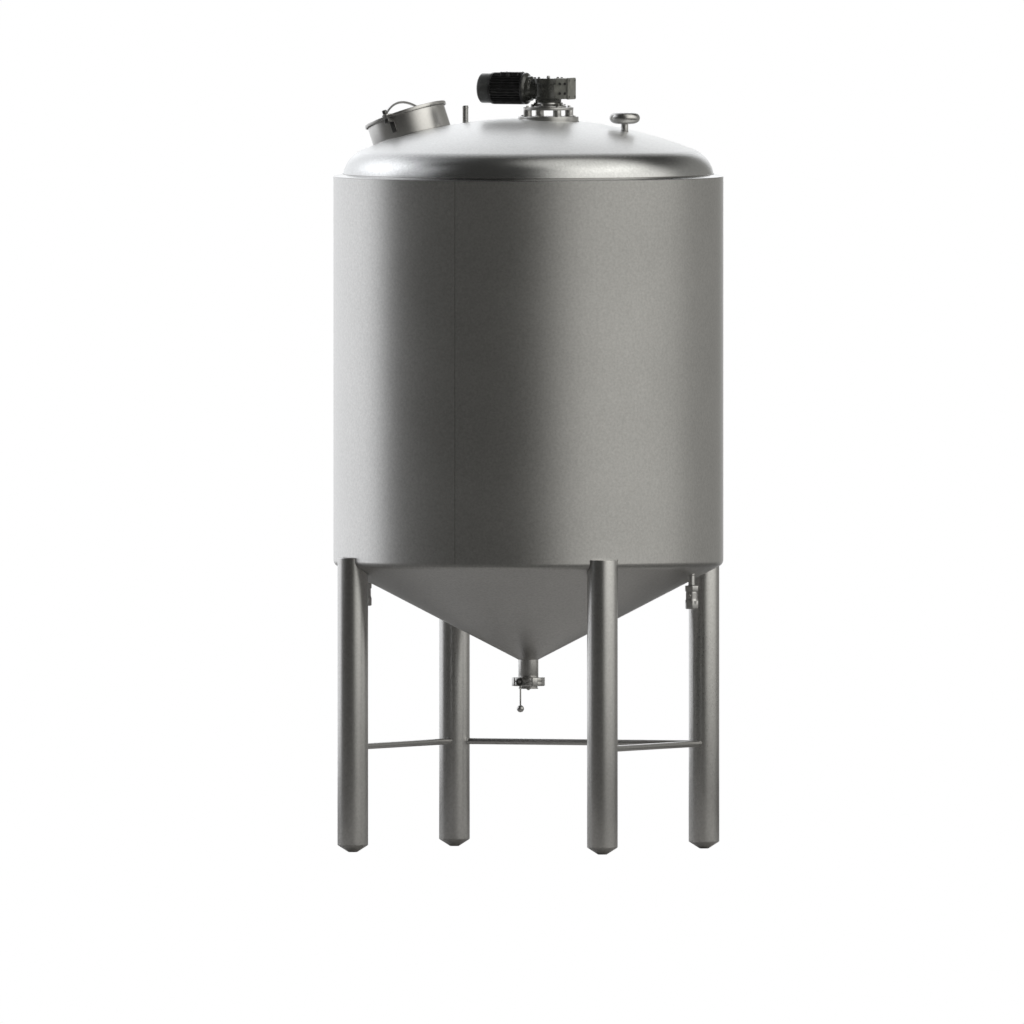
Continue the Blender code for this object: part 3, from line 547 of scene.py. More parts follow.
def make(name, shape, finish, body="tank", stands_for=(), sharp=SHARP):
    """A finished object at the origin, with its place in its points.

    It rides on a body, stands for the frame's nodes that it names, and takes its finish from a slot.
    """
    mesh = filled(name, shape)
    mesh.shade_smooth()
    mesh.set_sharp_from_angle(angle=math.radians(sharp))
    mesh.materials.append(finish)
    piece = bpy.data.objects.new(name, mesh)
    bpy.context.scene.collection.objects.link(piece)
    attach(piece, body)
    if stands_for:
        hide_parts(*stands_for)
    fresh.append(name)
    return piece


def report():
    """Print the names of the pieces made since the last report."""
    print("made:", ", ".join(fresh))
    fresh.clear()


print("corners over", SHARP, "degrees stay sharp")

# %% [markdown]
# ## The cladding
# Three rolled sheets meet at upright seams, one of them on the front. On the real tank they are 2.5 mm
# thick, so each is a solid: an outer and an inner wall joined round the edge. The frame has 60 flat sides;
# a sheet this glossy would show every one, so the skin has ten times as many.

# %% Cladding panels
PANELS = ("cladding_front_right", "cladding_rear", "cladding_front_left")
CLAD_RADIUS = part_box("cladding_cone")[1].x
CLAD_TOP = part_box("cladding_rear")[1].z
CLAD_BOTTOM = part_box("cladding_rear")[0].z
SHEET = 0.0025
SEAM_GAP = 0.0016
FIRST_SEAM = -90.0
PANEL_ANGLE = 120.0
PANEL_SIDES = 200
PANEL_ROWS = 25


def capped(shape, rows, columns):
    """Close the two ends of an open turned ring: its first and last columns of points, joined across."""
    number = np.arange(rows * columns).reshape(rows, columns)
    half = rows // 2
    ends = []
    for column in (0, columns - 1):
        left, right = number[:half, column], number[half:, column][::-1]
        ends.append(np.stack([left[:-1], left[1:], right[1:], right[:-1]], 1))
    return shape[0], np.concatenate([shape[1], *ends])


def wall_line(radius, thick, high, low, rows):
    """The profile of an upright wall: down its outside and up its inside."""
    heights = np.linspace(high, low, rows)
    outer = np.stack([np.full(rows, radius), heights], 1)
    inner = np.stack([np.full(rows, radius - thick), heights[::-1]], 1)
    return np.concatenate([outer, inner])


def panel(first_degrees):
    """A third of the cylinder: the wall's profile turned through 120 degrees less the seam."""
    half_seam = SEAM_GAP / CLAD_RADIUS / 2.0
    start = math.radians(first_degrees) + half_seam
    stop = math.radians(first_degrees + PANEL_ANGLE) - half_seam
    line = wall_line(CLAD_RADIUS, SHEET, CLAD_TOP, CLAD_BOTTOM, PANEL_ROWS)
    grid = polar(line[:, :1], np.linspace(start, stop, PANEL_SIDES), line[:, 1:])
    return capped(skin(grid, around=False, closed=True), len(line), PANEL_SIDES)


panels = []
for number, node in enumerate(PANELS):
    sheet = panel(FIRST_SEAM + PANEL_ANGLE * number)
    panels.append(make(f"{node}_sheet", sheet, CLADDING, "tank", (node,)))
report()

# %% [markdown]
# The cone sheet below turns in from the panels over a 38 mm bend and runs down to the outlet pipe. The flat
# ring above closes the gap to the head. Both are profiles turned about the tank's axis.

# %% Cladding cone and top ring
SLOPE = math.radians(27.4)
BEND = 0.038
BEND_STEPS = 13
SLOPE_STEPS = 40
PIPE_HOLE = 0.0543
RING_INNER = 0.9984


def cone_line(bend):
    """One face of the cone sheet: round the bend of this radius, then along the slope to the pipe's hole."""
    angle = np.linspace(0.0, SLOPE - math.pi / 2.0, BEND_STEPS)
    curve = [CLAD_RADIUS - BEND, CLAD_BOTTOM] + bend * np.stack([np.cos(angle), np.sin(angle)], 1)
    reach = np.linspace(0.0, 1.0, SLOPE_STEPS)[1:, None]
    end = np.array([PIPE_HOLE, curve[-1, 1] - (curve[-1, 0] - PIPE_HOLE) * math.tan(SLOPE)])
    return np.concatenate([curve, curve[-1] + (end - curve[-1]) * reach])


cone_outside = cone_line(BEND)
cone_inside = cone_line(BEND - SHEET)
cone_profile = np.concatenate([cone_outside, cone_inside[::-1]])
cone = make("cone_sheet", turned(cone_profile, 360), CLADDING, "tank", ("cladding_cone",))

ring_low, ring_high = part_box("cladding_top_ring")
ring_line = rounded(
    [
        (RING_INNER, ring_high.z, 0.0),
        (CLAD_RADIUS, ring_low.z + SHEET, 0.002),
        (CLAD_RADIUS, ring_low.z, 0.0),
        (RING_INNER, ring_high.z - SHEET, 0.0),
    ],
    3,
)
# the top ring's darker steel is painted shade for the dark band under the head
make("top_ring_sheet", turned(ring_line, 360), RING_PAINTED_SHADE, "tank", ("cladding_top_ring",))
report()

# %% [markdown]
# ## The vessel
# The head is torispherical: a flat crown of 2.45 m radius runs into a tight knuckle of 172 mm, and the
# change of curvature shows in the photograph as a sharp change of tone. It is one profile again, this time
# with the hole for the manhole cut by a Boolean.

# %% Vessel head
WALL = 0.005
VESSEL_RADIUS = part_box("vessel_shell")[1].x
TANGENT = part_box("head_knuckle_front")[0].z
CROWN = 2.450
KNUCKLE = 0.172
CROWN_STEPS = 60
KNUCKLE_STEPS = 28
crown_tilt = math.asin((VESSEL_RADIUS - KNUCKLE) / (CROWN - KNUCKLE))
crown_centre = TANGENT - (CROWN - KNUCKLE) * math.cos(crown_tilt)


def arc(across, up, radius, tilt):
    """Points at a distance from a centre, at angles tilted outwards from straight up."""
    return np.stack([across + radius * np.sin(tilt), up + radius * np.cos(tilt)], 1)


def head_line(inset):
    """Crown arc from the axis to the junction, then the knuckle arc down to the tangent line."""
    crown = arc(0.0, crown_centre, CROWN - inset, np.linspace(0.0, crown_tilt, CROWN_STEPS))
    bend = np.linspace(crown_tilt, math.pi / 2.0, KNUCKLE_STEPS)[1:]
    knuckle = arc(VESSEL_RADIUS - KNUCKLE, TANGENT, KNUCKLE - inset, bend)
    return np.concatenate([crown, knuckle])


head = make(
    "dished_head",
    turned(np.concatenate([head_line(0.0), head_line(WALL)[::-1]]), 256),
    BLASTED,
    "tank",
    ("head_crown_front", "head_crown_rear", "head_knuckle_front", "head_knuckle_rear"),
)
report()

# %% [markdown]
# Holes are cut by a Boolean modifier that is applied at once, so the finished piece is a plain mesh. The
# tool that cuts is a rod, and it is thrown away afterwards.

# %% Cutting tools


def cut(target, *shapes):
    """Take shapes away from a piece, for good."""
    for shape in shapes:
        cutter = bpy.data.objects.new("cutter", filled("cutter", shape))
        bpy.context.scene.collection.objects.link(cutter)
        step = target.modifiers.new("cut", "BOOLEAN")
        step.operation = "DIFFERENCE"
        step.object = cutter
        bpy.context.view_layer.update()
        graph = bpy.context.evaluated_depsgraph_get()
        result = bpy.data.meshes.new_from_object(target.evaluated_get(graph))
        target.modifiers.clear()
        uncut, target.data = target.data, result
        tool = cutter.data
        bpy.data.objects.remove(cutter)
        bpy.data.meshes.remove(uncut)
        bpy.data.meshes.remove(tool)
    target.data.shade_smooth()
    target.data.set_sharp_from_angle(angle=math.radians(SHARP))


def rod(radius, low, high, sides=48):
    """A plain cylinder about Z."""
    return turned(np.array([(0.0, high), (radius, high), (radius, low), (0.0, low)]), sides)


print("a rod has", len(rod(1.0, 0.0, 1.0)[1]), "faces")

# %% [markdown]
# ## The manhole
# Its neck is square to its own rim, and both lean 19 degrees to the left. So its pieces are made upright
# about the rim's middle and carried there by one matrix. The neck is a tube through a hole in the head.

# %% Manhole neck
GAP = 0.0003
RIM_TILT = 19.0
NECK_RADIUS = 0.215
NECK_WALL = 0.004
NECK_DEPTH = 0.165
hinge_joint = next(joint for joint in frame["joints"] if joint["name"] == "lid_hinge")
rim_x, HINGE_Y, rim_z = hinge_joint["pos_m"]
rim = at(rim_x, 0.0, rim_z) @ turn(-RIM_TILT, "Y")

cut(head, moved(rod(NECK_RADIUS + GAP, -0.30, 0.05, 128), rim))

neck_line = rounded(
    [
        (NECK_RADIUS - NECK_WALL, 0.0, 0.0015),
        (NECK_RADIUS, 0.0, 0.0015),
        (NECK_RADIUS, -NECK_DEPTH, 0.001),
        (NECK_RADIUS - NECK_WALL, -NECK_DEPTH, 0.001),
    ],
    3,
    closed=True,
)
make("neck_tube", moved(turned(neck_line, 192), rim), NECK, "tank", ("manhole_neck",))
report()

# %% [markdown]
# The lid is a plate with a lip bent down over the neck. A lug at the front takes the clamp, and one at the
# back ends in the hinge's barrel. All three are one welded part, so they are one piece, on the lid's own
# body.

# %% Lid
LID_RADIUS = 0.227
LID_TOP = 0.0053
LIP_INNER = 0.2205
LIP_DEPTH = 0.012
LUG_WIDTH = 0.036
LUG_LENGTH = 0.075
LUG_LOW = -0.003
FRONT_LUG_Y = -0.2595
REAR_LUG_Y = 0.2555
PIN_BORE = 0.0075
BARREL_RADIUS = 0.014
BARREL_HALF = 0.018
facing_front = turn(90.0, "X")
facing_right = turn(90.0, "Y")
facing_left = turn(-90.0, "Y")

lid_line = rounded(
    [
        (0.0, LID_TOP, 0.0),
        (LID_RADIUS, LID_TOP, 0.0035),
        (LID_RADIUS, -LIP_DEPTH, 0.001),
        (LIP_INNER, -LIP_DEPTH, 0.001),
        (LIP_INNER, GAP, 0.002),
        (0.0, GAP, 0.0),
    ],
    4,
)
barrel_line = rounded(
    [
        (PIN_BORE, BARREL_HALF, 0.0005),
        (BARREL_RADIUS, BARREL_HALF, 0.002),
        (BARREL_RADIUS, -BARREL_HALF, 0.002),
        (PIN_BORE, -BARREL_HALF, 0.0005),
    ],
    3,
    closed=True,
)
lid_parts = joined(
    turned(lid_line, 192),
    moved(slab(oblong(LUG_WIDTH, LUG_LENGTH, 0.010), LUG_LOW, LID_TOP, 0.0015), at(y=FRONT_LUG_Y)),
    moved(slab(oblong(LUG_WIDTH, LUG_LENGTH, 0.004), LUG_LOW, LID_TOP, 0.0015), at(y=REAR_LUG_Y)),
    moved(turned(barrel_line, 32), at(y=HINGE_Y) @ facing_right),
)
make("lid_plate", moved(lid_parts, rim), NECK, "lid", ("manhole_lid",))
report()

# %% [markdown]
# The bow is a round bar bent to an arc of 623 mm radius. It springs from the lug beside the clamp, passes
# 69 mm over the middle of the lid and ends beside the hinge. The knob below it screws down on the front
# lug.

# %% Bow and clamp knob
BOW_ARC = 0.623
BOW_PEAK = 0.0692
BOW_REACH = 0.264
BOW_BAR = 0.007
CLAMP_Y = -0.279
KNOB_RADIUS = 0.013
KNOB_TOP = 0.030
STEM_RADIUS = 0.006
STEM_END = -0.029

along_lid = np.linspace(-BOW_REACH, BOW_REACH, 61)
bow_height = BOW_PEAK - BOW_ARC + np.sqrt(BOW_ARC**2 - along_lid**2)
bow_path = np.stack([0.0 * along_lid, along_lid, bow_height], 1)
make("bow_bar", moved(tube(bow_path, BOW_BAR, 20), rim), LEG, "lid", ("lid_bow",))

knob_line = rounded(
    [
        (0.0, KNOB_TOP, 0.0),
        (KNOB_RADIUS, KNOB_TOP, 0.003),
        (KNOB_RADIUS, KNOB_TOP - 0.020, 0.002),
        (STEM_RADIUS + 0.003, LID_TOP + GAP, 0.001),
        (STEM_RADIUS, LID_TOP + GAP, 0.0),
        (STEM_RADIUS, STEM_END, 0.001),
        (0.0, STEM_END, 0.0),
    ],
    4,
)
knob = moved(turned(knob_line, 40), rim @ at(y=CLAMP_Y))
make("clamp_knob", knob, DARK, "lid", ("lid_clamp_screw",))
report()

# %% [markdown]
# ## Legs and feet
# Each leg is a tube closed by a cap, on a foot that tapers to a small flat tip. Leg and foot are turned
# profiles, carried to the four corners of a square.

# %% Legs
LEG_RADIUS = 0.0825
LEG_WALL = 0.005
LEG_PITCH = 0.7255
LEG_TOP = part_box("leg_front_left")[1].z
FOOT_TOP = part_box("leg_front_left")[0].z
SPIGOT = 0.045
TIP_RADIUS = 0.023
leg_inside = LEG_RADIUS - LEG_WALL
leg_line = rounded(
    [
        (0.0, LEG_TOP, 0.0),
        (LEG_RADIUS, LEG_TOP, 0.004),
        (LEG_RADIUS, FOOT_TOP, 0.0015),
        (leg_inside, FOOT_TOP, 0.0),
        (leg_inside, LEG_TOP - LEG_WALL, 0.0),
        (0.0, LEG_TOP - LEG_WALL, 0.0),
    ],
    4,
)
foot_line = rounded(
    [
        (0.0, FOOT_TOP + SPIGOT, 0.0),
        (leg_inside - GAP, FOOT_TOP + SPIGOT, 0.0),
        (leg_inside - GAP, FOOT_TOP - GAP, 0.0),
        (LEG_RADIUS, FOOT_TOP - GAP, 0.0012),
        (TIP_RADIUS, 0.0, 0.004),
        (0.0, 0.0, 0.0),
    ],
    4,
)
leg_places = {
    "front_left": at(-LEG_PITCH, -LEG_PITCH),
    "front_right": at(LEG_PITCH, -LEG_PITCH),
    "rear_left": at(-LEG_PITCH, LEG_PITCH),
    "rear_right": at(LEG_PITCH, LEG_PITCH),
}
for corner, place in leg_places.items():
    leg = moved(turned(leg_line, 96), place)
    foot = moved(turned(foot_line, 96), place)
    make(f"{corner}_tube", leg, LEG, "tank", (f"leg_{corner}",))
    make(f"{corner}_cone_foot", foot, LEG, "tank", (f"foot_{corner}",))
report()

# %% [markdown]
# Three thin bars tie the legs; the front is left open. A bar ends in a saddle: its point at angle a reaches
# the leg at the leg's distance less the root of R squared minus (r cos a) squared, and a weld follows that
# line.

# %% Tie bars
BAR_RADIUS = 0.01685
BAR_HEIGHT = 0.566
BAR_SIDES = 40
BAR_WELD = 0.0028


def tie_bar():
    """The bar along X between two legs, with saddle ends, and the bead of weld round each end."""
    angle = round_angles(BAR_SIDES)
    side, up = BAR_RADIUS * np.cos(angle), BAR_RADIUS * np.sin(angle)
    reach = LEG_PITCH - np.sqrt(LEG_RADIUS**2 - side**2)
    share = np.linspace(-1.0, 1.0, 31)[:, None]
    grid = np.stack(np.broadcast_arrays(share * reach, side, up), -1)
    tip = LEG_PITCH - LEG_RADIUS
    caps = [np.broadcast_to([end * tip, 0.0, 0.0], (1, BAR_SIDES, 3)) for end in (-1, 1)]
    bar = skin(np.concatenate([caps[0], grid, caps[1]], 0))
    saddles = [np.stack([end * reach, side * 1.06, up * 1.06], 1) for end in (-1, 1)]
    return bar, joined(*[bead(saddle, BAR_WELD, 6) for saddle in saddles])


bar, bar_welds = tie_bar()
bar_places = {
    "brace_rear": at(0.0, LEG_PITCH, BAR_HEIGHT),
    "brace_left": at(-LEG_PITCH, 0.0, BAR_HEIGHT) @ turn(90.0, "Z"),
    "brace_right": at(LEG_PITCH, 0.0, BAR_HEIGHT) @ turn(90.0, "Z"),
}
for node, place in bar_places.items():
    make(f"{node}_bar", moved(bar, place), LEG, "tank", (node,))
make("tie_bar_welds", copies(bar_welds, bar_places.values()), BEAD, "tank", ())
report()

# %% [markdown]
# The legs run up through the cladding, which is cut out round them with 2 mm to spare. The cut is a Boolean
# with one rod per leg, a little wider than the leg.

# %% Leg notches
SPARE = 0.002
NOTCH_LOW = 1.30
notch = rod(LEG_RADIUS + SPARE, NOTCH_LOW, LEG_TOP + SPARE, 64)
notches = [moved(notch, place) for place in leg_places.values()]
for sheet in (*panels, cone):
    cut(sheet, *notches)
print("notched:", ", ".join(sheet.name for sheet in (*panels, cone)))

# %% [markdown]
# ## Welds on the head and the cladding
# The neck stands in its hole, and a weld runs round the joint. A point of the joint lies on the tilted tube
# and on the crown at once, so we slide each point along the tube until its height is the crown's.

# %% Welds
STUB_RADIUS = 0.0155
VENT_STEM = 0.019
PEDESTAL_RADIUS = 0.163
COLLAR_RADIUS = 0.0552


def middle_x(node):
    """The middle of a node's box along X."""
    low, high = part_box(node)
    return (low.x + high.x) / 2.0


def crown_height(x, y):
    """The crown's height over points."""
    return crown_centre + np.sqrt(CROWN**2 - x**2 - y**2)


def on_crown(radius, place):
    """Where a tube of this radius about the place's own Z axis meets the crown, by repeated correction."""
    matrix = np.array(place)
    axis = matrix[:3, 2]
    path = polar(radius, round_angles(180), -0.10) @ matrix[:3, :3].T + matrix[:3, 3]
    for _ in range(12):
        path = path + ((crown_height(path[:, 0], path[:, 1]) - path[:, 2]) / axis[2])[:, None] * axis
    return path


STUB_X = middle_x("stub_tube")
VENT_X = middle_x("vent_cap")
DRIVE_X = middle_x("drive_pedestal")
head_welds = [
    bead(on_crown(NECK_RADIUS, rim), 0.0032),
    bead(on_crown(STUB_RADIUS, at(STUB_X)), 0.0022),
    bead(on_crown(VENT_STEM, at(VENT_X)), 0.0022),
    bead(on_crown(PEDESTAL_RADIUS, at(DRIVE_X)), 0.0030),
]
make("head_welds", joined(*head_welds), BEAD, "tank", ())
sheet_welds = [
    bead(polar(RING_INNER + 0.0012, round_angles(360), ring_high.z), 0.0022),
    bead(polar(COLLAR_RADIUS, round_angles(90), cone_inside[-1, 1] + 0.0006), 0.0024),
]
make("cladding_welds", joined(*sheet_welds), BEAD, "tank", ())
report()

# %% [markdown]
# ## Inside the vessel
# With the lid open the wall and the cone show. They are plain turned shells, a plate thick.

# %% Shell and cone
shell_low, shell_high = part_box("vessel_shell")
shell_line = wall_line(VESSEL_RADIUS, WALL, shell_high.z, shell_low.z, 9)
make("shell_wall", turned(shell_line, 256), INSIDE, "tank", ("vessel_shell",))

cone_rise = math.tan(SLOPE)
cone_wall = WALL / math.cos(SLOPE)
cone_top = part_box("vessel_cone")[1].z
cone_low = cone_top - (VESSEL_RADIUS - PIPE_HOLE) * cone_rise
share = np.linspace(0.0, 1.0, 20)[:, None]
outside = (1.0 - share) * [VESSEL_RADIUS, cone_top] + share * [PIPE_HOLE, cone_low]
top_inner = [VESSEL_RADIUS - cone_wall / cone_rise, cone_top]
inside = (1.0 - share) * [PIPE_HOLE, cone_low + cone_wall] + share * top_inner
drain_cone = turned(np.concatenate([outside, inside]), 256)
make("drain_cone", drain_cone, INSIDE, "tank", ("vessel_cone",))
report()

# %% [markdown]
# ## Small parts with a few shapes
# Bolts, nuts and plates recur, so each has a function that makes it upright at the origin. Places then
# carry the copies, and one object holds all the copies of one material and one body.

# %% Bolts and bars
WASHER = 0.0016


def round_bar(radius, low, high, soft=0.001, sides=48, foot_soft=None):
    """A solid bar about Z with soft ends; foot_soft is the lower edge's own radius, where that differs."""
    foot = soft if foot_soft is None else foot_soft
    corners = [(0.0, high, 0.0), (radius, high, soft), (radius, low, foot), (0.0, low, 0.0)]
    return turned(rounded(corners), sides)


def ring_bar(outer, inner, low, high, soft=0.001, sides=96):
    """A ring about Z with soft edges."""
    corners = [(outer, high, soft), (outer, low, soft), (inner, low, soft), (inner, high, soft)]
    return turned(rounded(corners, 3, closed=True), sides)


def nut(radius, low, high, edge=0.0008, steps=2):
    """A hexagon with soft edges, its radius measured to a corner."""
    angle = np.radians(np.arange(6) * 60.0)
    return slab(np.stack([radius * np.cos(angle), radius * np.sin(angle)], 1), low, high, edge, steps)


def bolt(radius, height, washer=1.35):
    """A hexagon head on its washer."""
    disc = round_bar(radius * washer, 0.0, WASHER, 0.0004, 24, 0.0)
    return joined(disc, nut(radius, WASHER - 0.0002, height))


def button(radius, height):
    """A round head with a soft edge."""
    return round_bar(radius, 0.0, height, min(radius, height) * 0.4, 24, 0.0)


print("a bolt has", len(bolt(0.01, 0.008)[1]), "faces")

# %% [markdown]
# The clamp strip is welded down the front of the neck and carries the boss that the knob's stem goes into.
# The hinge is a pair of cheeks with the pin through them. The lid turns about that pin.

# %% Clamp strip and hinge
STRIP_WIDTH = 0.028
STRIP_LOW = -0.095
BOSS_LOW = -0.041
BOSS_TOP = -0.017
PIN_RADIUS = 0.007
CHEEK = 0.008
CHEEK_INNER = 0.022

strip = slab(oblong(STRIP_WIDTH, 0.018, 0.003), STRIP_LOW, BOSS_TOP, 0.002)
boss = slab(oblong(STRIP_WIDTH, 0.078, 0.007), BOSS_LOW, BOSS_TOP, 0.003)
clamp_parts = joined(
    moved(strip, at(y=-0.2135)),
    moved(boss, at(y=-0.254)),
    moved(button(0.006, 0.004), at(y=-0.2225, z=-0.072) @ facing_front),
)
make("clamp_strip", moved(clamp_parts, rim), DARK, "tank", ("clamp_bracket",))

cheek_line = rounded(
    [
        (0.205, -0.075, 0.002),
        (0.240, -0.075, 0.004),
        (0.306, -0.012, 0.010),
        (0.306, 0.014, 0.012),
        (0.236, 0.014, 0.004),
        (0.233, -0.0175, 0.002),
        (0.205, -0.0175, 0.002),
    ],
    4,
    closed=True,
)
on_edge = Matrix(((0.0, 0.0, 1.0, 0.0), (1.0, 0.0, 0.0, 0.0), (0.0, 1.0, 0.0, 0.0), (0.0, 0.0, 0.0, 1.0)))
cheeks = [
    moved(slab(cheek_line, low, low + CHEEK, 0.0012), on_edge) for low in (-CHEEK_INNER - CHEEK, CHEEK_INNER)
]
pin_half = CHEEK_INNER + CHEEK + 0.001
pin = moved(round_bar(PIN_RADIUS, -pin_half, pin_half), at(y=HINGE_Y) @ facing_right)
pin_heads = [
    moved(button(0.010, 0.004), at(x=CHEEK_INNER + CHEEK, y=HINGE_Y) @ facing_right),
    moved(button(0.010, 0.004), at(x=-CHEEK_INNER - CHEEK, y=HINGE_Y) @ facing_left),
]
hinge = moved(joined(*cheeks, pin, *pin_heads), rim)
make("hinge_cheeks", hinge, NECK, "tank", ("hinge_bracket",))
report()

# %% [markdown]
# ## The drive's stand
# A turned pedestal sits on the crown to the right of the axis. Four posts carry a ring, and the gaps
# between the posts show the far side. The pedestal's lower edge is let down onto the crown, point by point.

# %% Pedestal and posts
PEDESTAL_TOP = 3.954
STEP_RADIUS = 0.138
POST_RADIUS = 0.0225
POST_CIRCLE = 0.121
RING_RADIUS = 0.1355
drive = at(DRIVE_X)
plate_low, plate_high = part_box("drive_ring")
RING_LOW = plate_low.z
RING_HIGH = plate_high.z


def seated(shape, above):
    """A shape whose points below a height are let down onto the crown."""
    points = shape[0].copy()
    low = points[:, 2] < above
    points[low, 2] = crown_height(points[low, 0], points[low, 1]) + GAP
    return points, shape[1]


base = round_bar(PEDESTAL_RADIUS, PEDESTAL_TOP - 0.024, PEDESTAL_TOP, 0.004, 128)
step = round_bar(STEP_RADIUS, PEDESTAL_TOP - 0.004, PEDESTAL_TOP + 0.0025, 0.001, 128)
post = joined(
    round_bar(POST_RADIUS, PEDESTAL_TOP - 0.004, RING_LOW - GAP, 0.0015),
    round_bar(POST_RADIUS + 0.0025, PEDESTAL_TOP - 0.004, PEDESTAL_TOP + 0.006, 0.0015),
)
posts = copies(post, ring_of(4, POST_CIRCLE, first=45.0))
stand = joined(seated(moved(base, drive), PEDESTAL_TOP - 0.019), moved(joined(step, posts), drive))
make("pedestal", stand, BRIGHT, "tank", ("drive_pedestal",))

ring_plate = round_bar(RING_RADIUS, RING_LOW, RING_HIGH, 0.0025, 128)
ring_nuts = copies(bolt(0.0085, 0.0085, 1.25), ring_of(4, POST_CIRCLE, RING_HIGH, 45.0))
make("drive_ring_plate", moved(joined(ring_plate, ring_nuts), drive), BRIGHT, "tank", ("drive_ring",))
base_bolts = copies(bolt(0.0075, 0.0065), ring_of(4, 0.150, PEDESTAL_TOP))
make("pedestal_bolts", moved(base_bolts, drive), BRIGHT)
report()

# %% [markdown]
# ## The gearbox
# Its cast housing is one turned profile: cap, drum and lower flange. The bell below it is bare metal and
# flares to the ring. Castings have no sharp corners, so each corner of the profile has its own radius.

# %% Gearbox
CAP_TOP = 4.160
CAP_LOW = 4.130
CAP_RADIUS = 0.086
DRUM_RADIUS = 0.077
FLANGE_TOP = 4.064
FLANGE_LOW = 4.048
FLANGE_RADIUS = 0.083
BELL_TOP = 4.030
BELL_NECK = 0.076
BELL_RADIUS = 0.097
PLUG_HEIGHT = 4.100

gear_line = rounded(
    [
        (0.0, CAP_TOP, 0.0),
        (CAP_RADIUS, CAP_TOP, 0.003),
        (CAP_RADIUS, CAP_LOW, 0.002),
        (DRUM_RADIUS, CAP_LOW - 0.002, 0.002),
        (DRUM_RADIUS, FLANGE_TOP + 0.002, 0.002),
        (FLANGE_RADIUS, FLANGE_TOP, 0.002),
        (FLANGE_RADIUS, FLANGE_LOW, 0.002),
        (0.070, FLANGE_LOW - 0.003, 0.002),
        (0.070, BELL_TOP, 0.0),
        (0.0, BELL_TOP, 0.0),
    ]
)
bell_line = rounded(
    [
        (0.0, BELL_TOP - GAP, 0.0),
        (BELL_NECK, BELL_TOP - GAP, 0.002),
        (BELL_NECK + 0.004, BELL_TOP - 0.008, 0.010),
        (BELL_RADIUS, BELL_TOP - 0.020, 0.003),
        (BELL_RADIUS, RING_HIGH + GAP, 0.001),
        (0.0, RING_HIGH + GAP, 0.0),
    ]
)
cap_bolts = copies(bolt(0.0060, 0.0055, 1.2), ring_of(8, 0.072, CAP_TOP, 22.5))
plug = moved(bolt(0.0110, 0.0090, 1.3), at(y=0.0005 - DRUM_RADIUS, z=PLUG_HEIGHT) @ facing_front)
casting = moved(joined(turned(gear_line, 128), cap_bolts, plug), drive)
make("gearbox_casting", casting, GEARBOX, "tank", ("gearbox_housing",))
flange_bolts = copies(bolt(0.0050, 0.0060, 1.2), ring_of(6, 0.0890, BELL_TOP - 0.0155, 30.0))
make("gearbox_bell", moved(joined(turned(bell_line, 128), flange_bolts), drive), BRIGHT)
breather = joined(
    nut(0.011, CAP_TOP + GAP, CAP_TOP + 0.006),
    moved(button(0.0090, 0.0075), at(z=CAP_TOP + 0.0058)),
)
make("breather_plug", moved(breather, drive), BRIGHT, "tank", ("gearbox_breather",))
report()

# %% [markdown]
# The gearbox ends on the right in a block under a square cover plate. The block's enamel is paler than the
# drum's; being paler than the cover plate too is painted light for its dimly lit front face. Both are oblongs
# on edge, with dark round-headed screws.

# %% Gearbox end
COVER = 0.012
end_low, end_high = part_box("gearbox_end_cover")
end_depth = end_high.y - end_low.y
end_tall = end_high.z - end_low.z
sideways = at(z=(end_low.z + end_high.z) / 2.0) @ facing_right
block_line = oblong(end_tall, end_depth, 0.012) * 0.965
end_block = slab(block_line, end_low.x - 0.006, end_high.x - COVER - 0.0005, 0.003)
end_plate = slab(oblong(end_tall, end_depth, 0.009), end_high.x - COVER, end_high.x, 0.0025)
# the block's paler enamel carries painted light onto its front face
make("gearbox_end_block", moved(end_block, sideways), BLOCK_PAINTED_LIGHT, "tank", ("gearbox_end_cover",))
make("gearbox_end_plate", moved(end_plate, sideways), PALE_CAST, "tank", ())

front_places = [
    at(x, end_low.y + 0.0018, z) @ facing_front
    for x in (end_low.x + 0.033, end_low.x + 0.062)
    for z in (end_low.z + 0.032, end_low.z + 0.084)
]
side_places = [
    at(end_high.x - 0.0005, y, z) @ facing_right
    for y in (-0.042, 0.042)
    for z in (end_low.z + 0.014, end_high.z - 0.014)
]
end_screws = joined(copies(button(0.0075, 0.003), front_places), copies(button(0.0060, 0.0035), side_places))
make("gearbox_end_bolts", end_screws, DARK, "tank", ())
report()

# %% [markdown]
# ## The motor
# A finned barrel sheds its heat to the air that the fan drives along it. Round the barrel the radius drops
# into a groove between every two fins; along it, a plain collar closes each end. The end shield next to the
# gearbox is a smooth casting in the gearbox's paint.

# %% Motor barrel
MOTOR_AXIS = 4.103
MOTOR_RADIUS = 0.0855
FINS = 32
FIN_HEIGHT = 0.0115
MOTOR_COLLAR = 0.012
SHIELD = 0.014
motor_low, motor_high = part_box("motor_body")
on_motor = at(z=MOTOR_AXIS) @ facing_right


def finned(radius, groove, fins, low, high, collar):
    """A barrel about Z; between its collars the radius is r - groove * g(angle), g being 1 in the grooves."""
    soft = 0.0015
    depth = np.tile([0.0, 0.0, 0.25, 0.95, 1.0, 1.0, 1.0, 1.0, 0.95, 0.25], fins)
    heights = [low, low, low + soft, low + collar, low + collar + 0.001]
    heights += [high - collar - 0.001, high - collar, high - soft, high, high]
    plain = np.array([0.0, radius - soft] + [radius] * 6 + [radius - soft, 0.0])
    grooved = np.array([0.0, 0.0, 0.0, 0.0, 1.0, 1.0, 0.0, 0.0, 0.0, 0.0])
    radii = plain[:, None] - groove * grooved[:, None] * depth[None]
    return skin(polar(radii, round_angles(len(depth)), np.array(heights)[:, None]))


